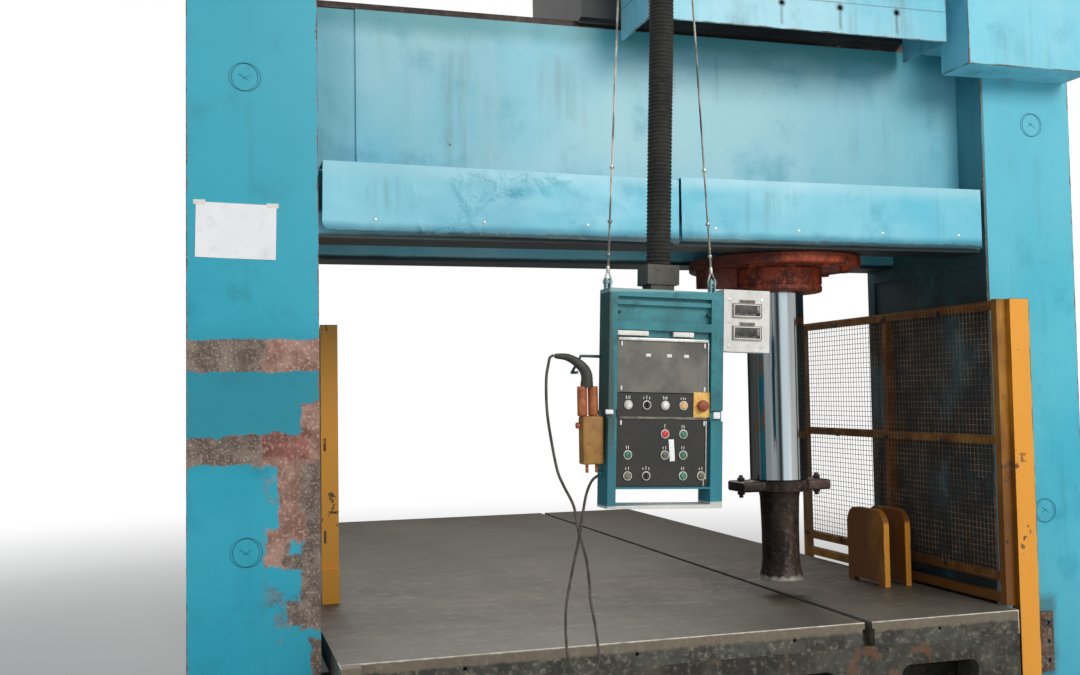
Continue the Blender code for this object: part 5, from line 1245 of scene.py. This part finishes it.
def addTrim():
    # pale edge lines round the window and the lower panel, the ledge between the panels, the foot bar, the latches
    raised = (0.0075, 0.0115)
    pendantBoxes("paleTrim", "screw", "chrome", (
        ("windowHead", (-0.157, 0.157), (0.0060, 0.0115), (-0.1655, -0.1565), 0.0008),
        ("windowSide", (0.1545, 0.1575), raised, (-0.3300, -0.1655), 0.0006),
        ("lowerSide", (0.1485, 0.1515), raised, (-0.6050, -0.4200), 0.0006),
        ("lowerCurve", (0.1400, 0.1430), raised, (-0.6300, -0.6050), 0.0006),
        ("lowerLink", (0.1400, 0.1515), raised, (-0.6075, -0.6045), 0.0006)))
    hang(pendantBox("panelLedge", (-0.150, 0.150), (0.0070, 0.0118), (-0.4160, -0.4085), 0.0010), "grey", "grey_cap")
    hang(pendantBox("footBar", (-0.1600, 0.1650), (-0.0012, 0.0060), (-0.7000, -0.6905), 0.0012), "meterWhite",
         "pale_plastic")
    pendantBoxes("latches", "paper", "pale_plastic", (
        ("latchLeft", (-0.1985, -0.1720), (0.0005, 0.0090), (-0.4020, -0.3870), 0.0030),
        ("latchRight", (0.1730, 0.1975), (0.0005, 0.0090), (-0.4120, -0.3900), 0.0030)))


def addScrews():
    spots = [(u, w) for u in (-0.1440, 0.1440) for w in (-0.1760, -0.3180, -0.4280)]
    pendantBoxes("cornerClips", "markWhite", "pale_plastic", [
        (f"clip{k}", (u - 0.0030, u + 0.0030), (0.0085, 0.0118), (w - 0.0075, w + 0.0075), 0.0012)
        for k, (u, w) in enumerate(spots)])
    hoodHead = ((0, 0.0008), (0.0030, 0.0006), (0.0046, -0.0006), (0.0048, -0.0300))
    dark = [pendantDisc(f"hoodScrew{k}", hoodHead, u, -0.076, 20) for k, u in enumerate((-0.1545, 0.1550))]
    hang(joined("hoodScrews", dark), "blackPlastic", "black_cap")
    boxHead = ((0, 0.0032), (0.0055, 0.0030), (0.0082, 0.0012), (0.0088, -0.0030))
    heads = []
    for k, (u, w) in enumerate(((0.2265, -0.0175), (0.3430, -0.0175), (0.2245, -0.1705), (0.3390, -0.1705))):
        heads.append(pendantDisc(f"boxScrew{k}", boxHead, u, w - 0.003, 28))
        heads.append(pendantBox(f"boxSlot{k}", (u - 0.0008, u + 0.0008), (-0.0036, -0.0028), (w - 0.0095, w + 0.0035),
                                0.0002))
    hang(joined("meterBoxScrews", heads), "screw", "chrome")


meterSet = {"middle": 0.2878, "tops": (-0.032, -0.106), "strokes": 9, "strokePitch": 0.008, "strokeFoot": 0.0405}


def addMeters(s):
    # two panel meters: a grey frame with a label tab, a dark face, and pale scale strokes along its foot
    frames, faces, scales = [], [], []
    middle = s["middle"]
    for number, top in enumerate(s["tops"]):
        for side, low, high in (("a", -0.0520, -0.0480), ("b", 0.0480, 0.0520)):
            frames.append((f"meterSide{number}{side}", (middle + low, middle + high), (-0.0082, 0.0),
                           (top - 0.047, top), 0.0008))
        for side, low, high in (("c", -0.0035, 0.0), ("d", -0.0470, -0.0435)):
            frames.append((f"meterBar{number}{side}", (middle - 0.0500, middle + 0.0500), (-0.0081, 0.0),
                           (top + low, top + high), 0.0008))
        frames.append((f"meterTab{number}", (middle - 0.0275, middle + 0.0275), (-0.0068, -0.0010),
                       (top - 0.0005, top + 0.0118), 0.0010))
        faces.append((f"meterFace{number}", (middle - 0.0482, middle + 0.0482), (-0.0056, -0.0022),
                      (top - 0.0440, top - 0.0030), 0.0006))
        for k in range(s["strokes"]):
            u = middle - 0.036 + s["strokePitch"] * k
            tall = 0.0075 if k % 4 == 0 else 0.0045
            scales.append((f"scale{number}_{k}", (u - 0.0006, u + 0.0006), (-0.0060, -0.0050),
                           (top - s["strokeFoot"], top - s["strokeFoot"] + tall), 0.0001))
        for k in range(3):
            u = middle + 0.0375 + 0.0030 * k
            scales.append((f"scaleSide{number}_{k}", (u - 0.0005, u + 0.0005), (-0.0060, -0.0050),
                           (top - 0.0300, top - 0.0100), 0.0001))
    pendantBoxes("meterFrames", "grey", "grey_cap", frames)
    pendantBoxes("meterFaces", "blackPlastic", "grey_glass", faces)
    pendantBoxes("meterScales", "screw", "pale_plastic", scales)


addControls(controlSet)
addMarks(controlSet)
addTrim()
addScrews()
addMeters(meterSet)
print("pendant dressed")


# ---- turned pieces on the ram's axis, with their chamfers and bolts ----
ramSet = {"x": 0.6914, "rod": 0.1350, "foot": 1.1426, "pistonLow": 2.27, "pistonTop": 2.43, "piston": 0.1847,
          "flange": (0.2353, 0.4050, 2.1400, 2.1897), "gland": (0.1353, 0.2250, 2.0317, 2.1397), "pitch": 0.34}


def addRod(s):
    edge = 0.004
    outline = ((0, s["foot"]), (s["rod"] - edge, s["foot"]), (s["rod"], s["foot"] + edge), (s["rod"], s["pistonLow"]),
               (s["piston"], s["pistonLow"]), (s["piston"], s["pistonTop"]), (0, s["pistonTop"]))
    rod = spun("smoothRod", outline, (s["x"], 0, 0), 96)
    finishPiece(rod, "ram", "chrome", "piston_rod", slot="chrome")


def hexBolt(name, radius, start, end):
    bolt = roundAt(name, radius, start, end, 6)
    return bevelled(bolt, radius * 0.09, 2, 25)


def addFlange(s):
    inner, outer, low, top = s["flange"]
    edge = 0.005
    outline = ((inner, top), (outer - edge, top), (outer, top - edge), (outer, low + edge), (outer - edge, low),
               (inner, low), (inner, top))
    parts = [spun("flangeRing", outline, (s["x"], 0, 0), 96)]
    for k in range(12):
        turn = math.tau * (k + 0.5) / 12
        x, y = s["x"] + s["pitch"] * math.cos(turn), s["pitch"] * math.sin(turn)
        washer = roundAt(f"washer{k}", 0.0255, (x, y, low - 0.0035), (x, y, low + 0.002), 24)
        parts.append(smooth(bevelled(washer, 0.001, 1), 40))
        parts.append(hexBolt(f"flangeBolt{k}", 0.0220, (x, y, low - 0.0139), (x, y, low + 0.005)))
    finishPiece(joined("flangeWithBolts", parts), "carriage", "primer", "cylinder_flange", slot="red_primer")
    inner, outer, low, top = s["gland"]
    spigot = top + 0.0597
    outline = ((inner, spigot), (s["piston"], spigot), (s["piston"], top), (outer - 0.003, top), (outer, top - 0.003),
               (outer, low + 0.040), (outer - 0.004, low + 0.036), (outer - 0.004, low + 0.030), (outer, low + 0.026),
               (outer, low + 0.006), (outer - 0.006, low), (inner + 0.012, low), (inner + 0.006, low + 0.008),
               (inner, low + 0.010), (inner, spigot))
    finishPiece(spun("glandRing", outline, (s["x"], 0, 0), 96), "carriage", "primer", "gland_ring",
                slot="red_primer")


def addClamp(s):
    low, top = 1.0900, 1.1420
    outline = ((0, top), (0.1400, top), (0.1430, top - 0.003), (0.1430, low + 0.003), (0.1400, low), (0, low))
    disc = spun("clampDisc", outline, (s["x"], 0, 0), 96)
    arms = cubeAt("clampArms", (s["x"] - 0.23, -0.085, low + 0.002), (s["x"] + 0.23, 0.085, top - 0.002))
    parts = [disc, bevelled(arms, 0.010, 3)]
    for side in (-1, 1):
        x = s["x"] + side * 0.20
        bolt = roundAt(f"clampBolt{side}", 0.0100, (x, 0, low - 0.028), (x, 0, top + 0.026), 24)
        parts.append(bevelled(bolt, 0.002, 2))
        for k, z in enumerate((low - 0.014, top)):
            parts.append(hexBolt(f"clampNut{side}{k}", 0.0180, (x, 0, z), (x, 0, z + 0.014)))
    finishPiece(joined("clampWithBolts", parts), "ram", "clamp", "clamp_plate", slot="dark_steel")


def addPunch(s):
    # a waisted bar whose foot is upset and chipped round its rim
    foot, top = 0.6700, 1.0897
    height = top - foot
    outline = [(0, top), (0.0985, top), (0.0925, top - 0.030), (0.0893, top - 0.3 * height),
               (0.0880, top - 0.45 * height), (0.0880, top - 0.75 * height), (0.0893, foot + 0.085),
               (0.0925, foot + 0.060), (0.0985, foot + 0.034), (0.1045, foot + 0.013), (0.1040, foot + 0.004), (0.1015, foot), (0, foot)]
    punch = spun("wornPunch", outline, (s["x"], 0, 0), 96)
    worn = 0.045
    rng = random.Random(11)
    waves = [(rng.uniform(0, math.tau), rng.randint(3, 17), rng.uniform(0.0002, 0.0007)) for _ in range(7)]
    for vertex in punch.data.vertices:
        if vertex.co.z < foot + worn:
            turn = math.atan2(vertex.co.y, vertex.co.x - s["x"])
            depth = sum(size * max(0, math.sin(count * turn + shift)) for shift, count, size in waves)
            share = 1 - (vertex.co.z - foot) / worn
            offset = Vector((vertex.co.x - s["x"], vertex.co.y, 0))
            if offset.length > 0.05:
                vertex.co -= offset.normalized() * depth * share
    finishPiece(punch, "ram", "punch", "punch", slot="dark_steel")


addRod(ramSet)
addFlange(ramSet)
addClamp(ramSet)
addPunch(ramSet)
print("ram and flange turned")

# ---- welded wire mesh of the two guards ----
meshSet = {"wire": 0.0015, "pitch": 0.0265, "bow": 0.0012, "steps": 8, "bays": {
    "rightWireMesh": ("right_guard_mesh", 1.4667, (-0.6170, 1.1520), (0.7110, 1.9440)),
    "leftWireMesh": ("left_guard_mesh", -1.3507, (0.6060, 1.4590), (0.7210, 1.9000))}}


def addWireMesh(s):
    # upright wires on one face of the level ones, each with a slight bow of its own
    rng = random.Random(4)
    for name, (node, x, across, up) in s["bays"].items():
        wires = []
        for axis, span, other, shift in ((1, across, up, -1), (2, up, across, 1)):
            count = round((span[1] - span[0]) / s["pitch"])
            for k in range(count + 1):
                place = span[0] + (span[1] - span[0]) * k / count
                bow = rng.uniform(-s["bow"], s["bow"])
                points = []
                for step in range(s["steps"] + 1):
                    along = other[0] + (other[1] - other[0]) * step / s["steps"]
                    drift = bow * math.sin(math.pi * step / s["steps"])
                    centre = [x + shift * s["wire"] * 0.9, 0, 0]
                    centre[axis] = place + drift
                    centre[3 - axis] = along
                    points.append(Vector(centre))
                wires.append(wireStrip(points, s["wire"], 3 - axis))
        vertices, faces = [], []
        for spots, quads in wires:
            start = len(vertices)
            vertices += spots
            faces += [tuple(start + k for k in quad) for quad in quads]
        net = turnedOut(opened(meshPiece(name, vertices, [], faces)))
        finishPiece(smooth(net, 60), "frame", "meshRust", node, slot="rusty_steel")


def wireStrip(points, radius, along):
    # the skin of one wire: five corners round each point, closed at both ends
    sides = 5
    first, second = [axis for axis in range(3) if axis != along]
    spots, quads = [], []
    for point in points:
        for n in range(sides):
            turn = math.tau * n / sides
            spot = point.copy()
            spot[first] += radius * math.cos(turn)
            spot[second] += radius * math.sin(turn)
            spots.append(spot)
    for ring in range(len(points) - 1):
        for n in range(sides):
            a, b = ring * sides + n, ring * sides + (n + 1) % sides
            quads.append((a, b, b + sides, a + sides))
    quads.append(tuple(range(sides))[::-1])
    quads.append(tuple(range((len(points) - 1) * sides, len(points) * sides)))
    return spots, quads


addWireMesh(meshSet)
print("guard meshes woven")


# ---- what is stuck, clipped or screwed on: the blank sheet, the guards' clips, the covers' screws ----
sheetSet = {"corners": ((-1.978, 2.101), (-1.682, 2.094), (-1.678, 2.304), (-1.974, 2.311)), "front": -0.4907}


def addSheet(s):
    # a blank sheet of paper taped on; its lower corners have lifted a little
    across, up = 22, 16
    a, b, c, d = (Vector((x, 0, z)) for x, z in s["corners"])
    spots = []
    for row in range(up + 1):
        for column in range(across + 1):
            u, v = column / across, row / up
            spot = a.lerp(b, u).lerp(d.lerp(c, u), v)
            lift = 0.0045 * (1 - v) ** 4 * (abs(2 * u - 1) ** 3) + 0.0006 * math.sin(9 * u + 4 * v) ** 2
            spots.append((spot.x, s["front"] - lift, spot.z))
    wide = across + 1
    faces = [(r * wide + k, r * wide + k + 1, (r + 1) * wide + k + 1, (r + 1) * wide + k)
             for r in range(up) for k in range(across)]
    sheet = meshPiece("blankSheet", spots, [], faces)
    thick = sheet.modifiers.new("paperThickness", "SOLIDIFY")
    thick.thickness = 0.0005
    thick.offset = 1
    finishPiece(smooth(turnedOut(opened(applyAll(sheet))), 30), "frame", "paper")
    tapes = []
    for k, (x, z) in enumerate(((-1.962, 2.309), (-1.692, 2.301))):
        tape = cubeAt(f"tape{k}", (x - 0.022, -0.4921, z - 0.008), (x + 0.022, -0.4902, z + 0.010))
        tapes.append(bevelled(tape, 0.0005, 1))
    finishPiece(joined("tapes", tapes), "frame", "markWhite")


# the clips' reach in x, those on the front upright, and the grid of the others
clipSet = {"right": ((1.4605, 1.4700), (-0.612, (1.84, 1.31, 0.77)),
                     ((-0.20, 0.28, 0.75, 1.12), (1.925, 1.318, 0.732))),
           "left": ((-1.3540, -1.3455), None, ((0.64, 1.05, 1.42), (1.885, 1.322, 0.740)))}


def addGuardClips(s):
    # spring clips that hold the wire mesh to the uprights and rails
    for side, (x, upright, grid) in s.items():
        spots = [(upright[0], z, 0.016, 0.022) for z in upright[1]] if upright else []
        spots += [(y, z, 0.016, 0.014) for y in grid[0] for z in grid[1]]
        clips = [bevelled(cubeAt("clip", (x[0], y - wide, z - tall), (x[1], y + wide, z + tall)), 0.003, 2)
                 for y, z, wide, tall in spots]
        finishPiece(joined(f"{side}MeshClips", clips), "frame", "clamp", slot="rusty_steel")


def addCoverScrews():
    # screw heads along the covers' lower edges
    heads = []
    profile = ((0, 0.0016), (0.0040, 0.0014), (0.0062, 0.0004), (0.0066, -0.0030))
    for x in (-1.30, -0.86, -0.42, 0.16, 0.56, 0.98, 1.38):
        heads.append(spun("coverScrew", [(r, -h) for r, h in profile][::-1], (x, -0.4902, 2.262), 20, (0, 1, 0)))
    finishPiece(joined("coverScrews", heads), "frame", "screw", slot="teal_paint")


addSheet(sheetSet)
addGuardClips(clipSet)
addCoverScrews()
print("small pieces are on")


# ---- the finishes of the nodes that keep the CAD's own mesh, and of those that replaced pieces leave behind ----
carriedSet = {
    "leftColumn": ["left_column"], "rightColumn": ["right_column"], "beam": ["front_girder", "rear_girder"],
    "cover": ["left_cover", "right_cover", "rear_cover"], "cabinet": ["drive_cabinet", "boom_post", "boom_arm"],
    "headCover": ["head_cover"], "bed": ["bed_left", "bed_right"],
    "apron": ["t_slot_girder", "bed_apron_front", "bed_apron_rear", "lower_beam"],
    "clamp": ["front_rail", "rear_rail", "cylinder_barrel", "clamp_plate"], "stop": ["left_stop", "right_stop"],
    "rightGuard": ["right_guard_frame"], "leftGuard": ["left_guard_frame"], "rust": ["guard_bracket"],
    "black": ["head_frame", "head_housing"], "primer": ["cylinder_flange", "gland_ring", "port_block"],
    "chrome": ["piston_rod"], "punch": ["punch"], "pendant": ["pendant_case"], "display": ["display_panel"],
    "panel": ["control_panel_upper", "control_panel_lower"], "meterWhite": ["meter_box"],
    "rubber": ["conduit_collar", "conduit"], "wire": ["rope_left", "rope_right"], "ochre": ["handset"],
    "cordRubber": ["handset_cord"], "meshRust": ["right_guard_mesh", "left_guard_mesh"],
    "white": ["white_button_left", "white_button_right"], "amber": ["amber_button"], "stopRed": ["emergency_stop"],
    "red": ["red_button"], "blackPlastic": ["upper_selector", "lower_selector"],
    "green": ["green_button_upper", "green_button_left", "green_button_middle", "green_button_lower"],
    "grey": ["grey_button_middle", "grey_button_left", "grey_button_right"]}
for finish, nodes in carriedSet.items():
    for node in nodes:
        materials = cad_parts[node].data.materials
        materials.clear()
        materials.append(finishes[finish])
print("every carried-over node has its finish")
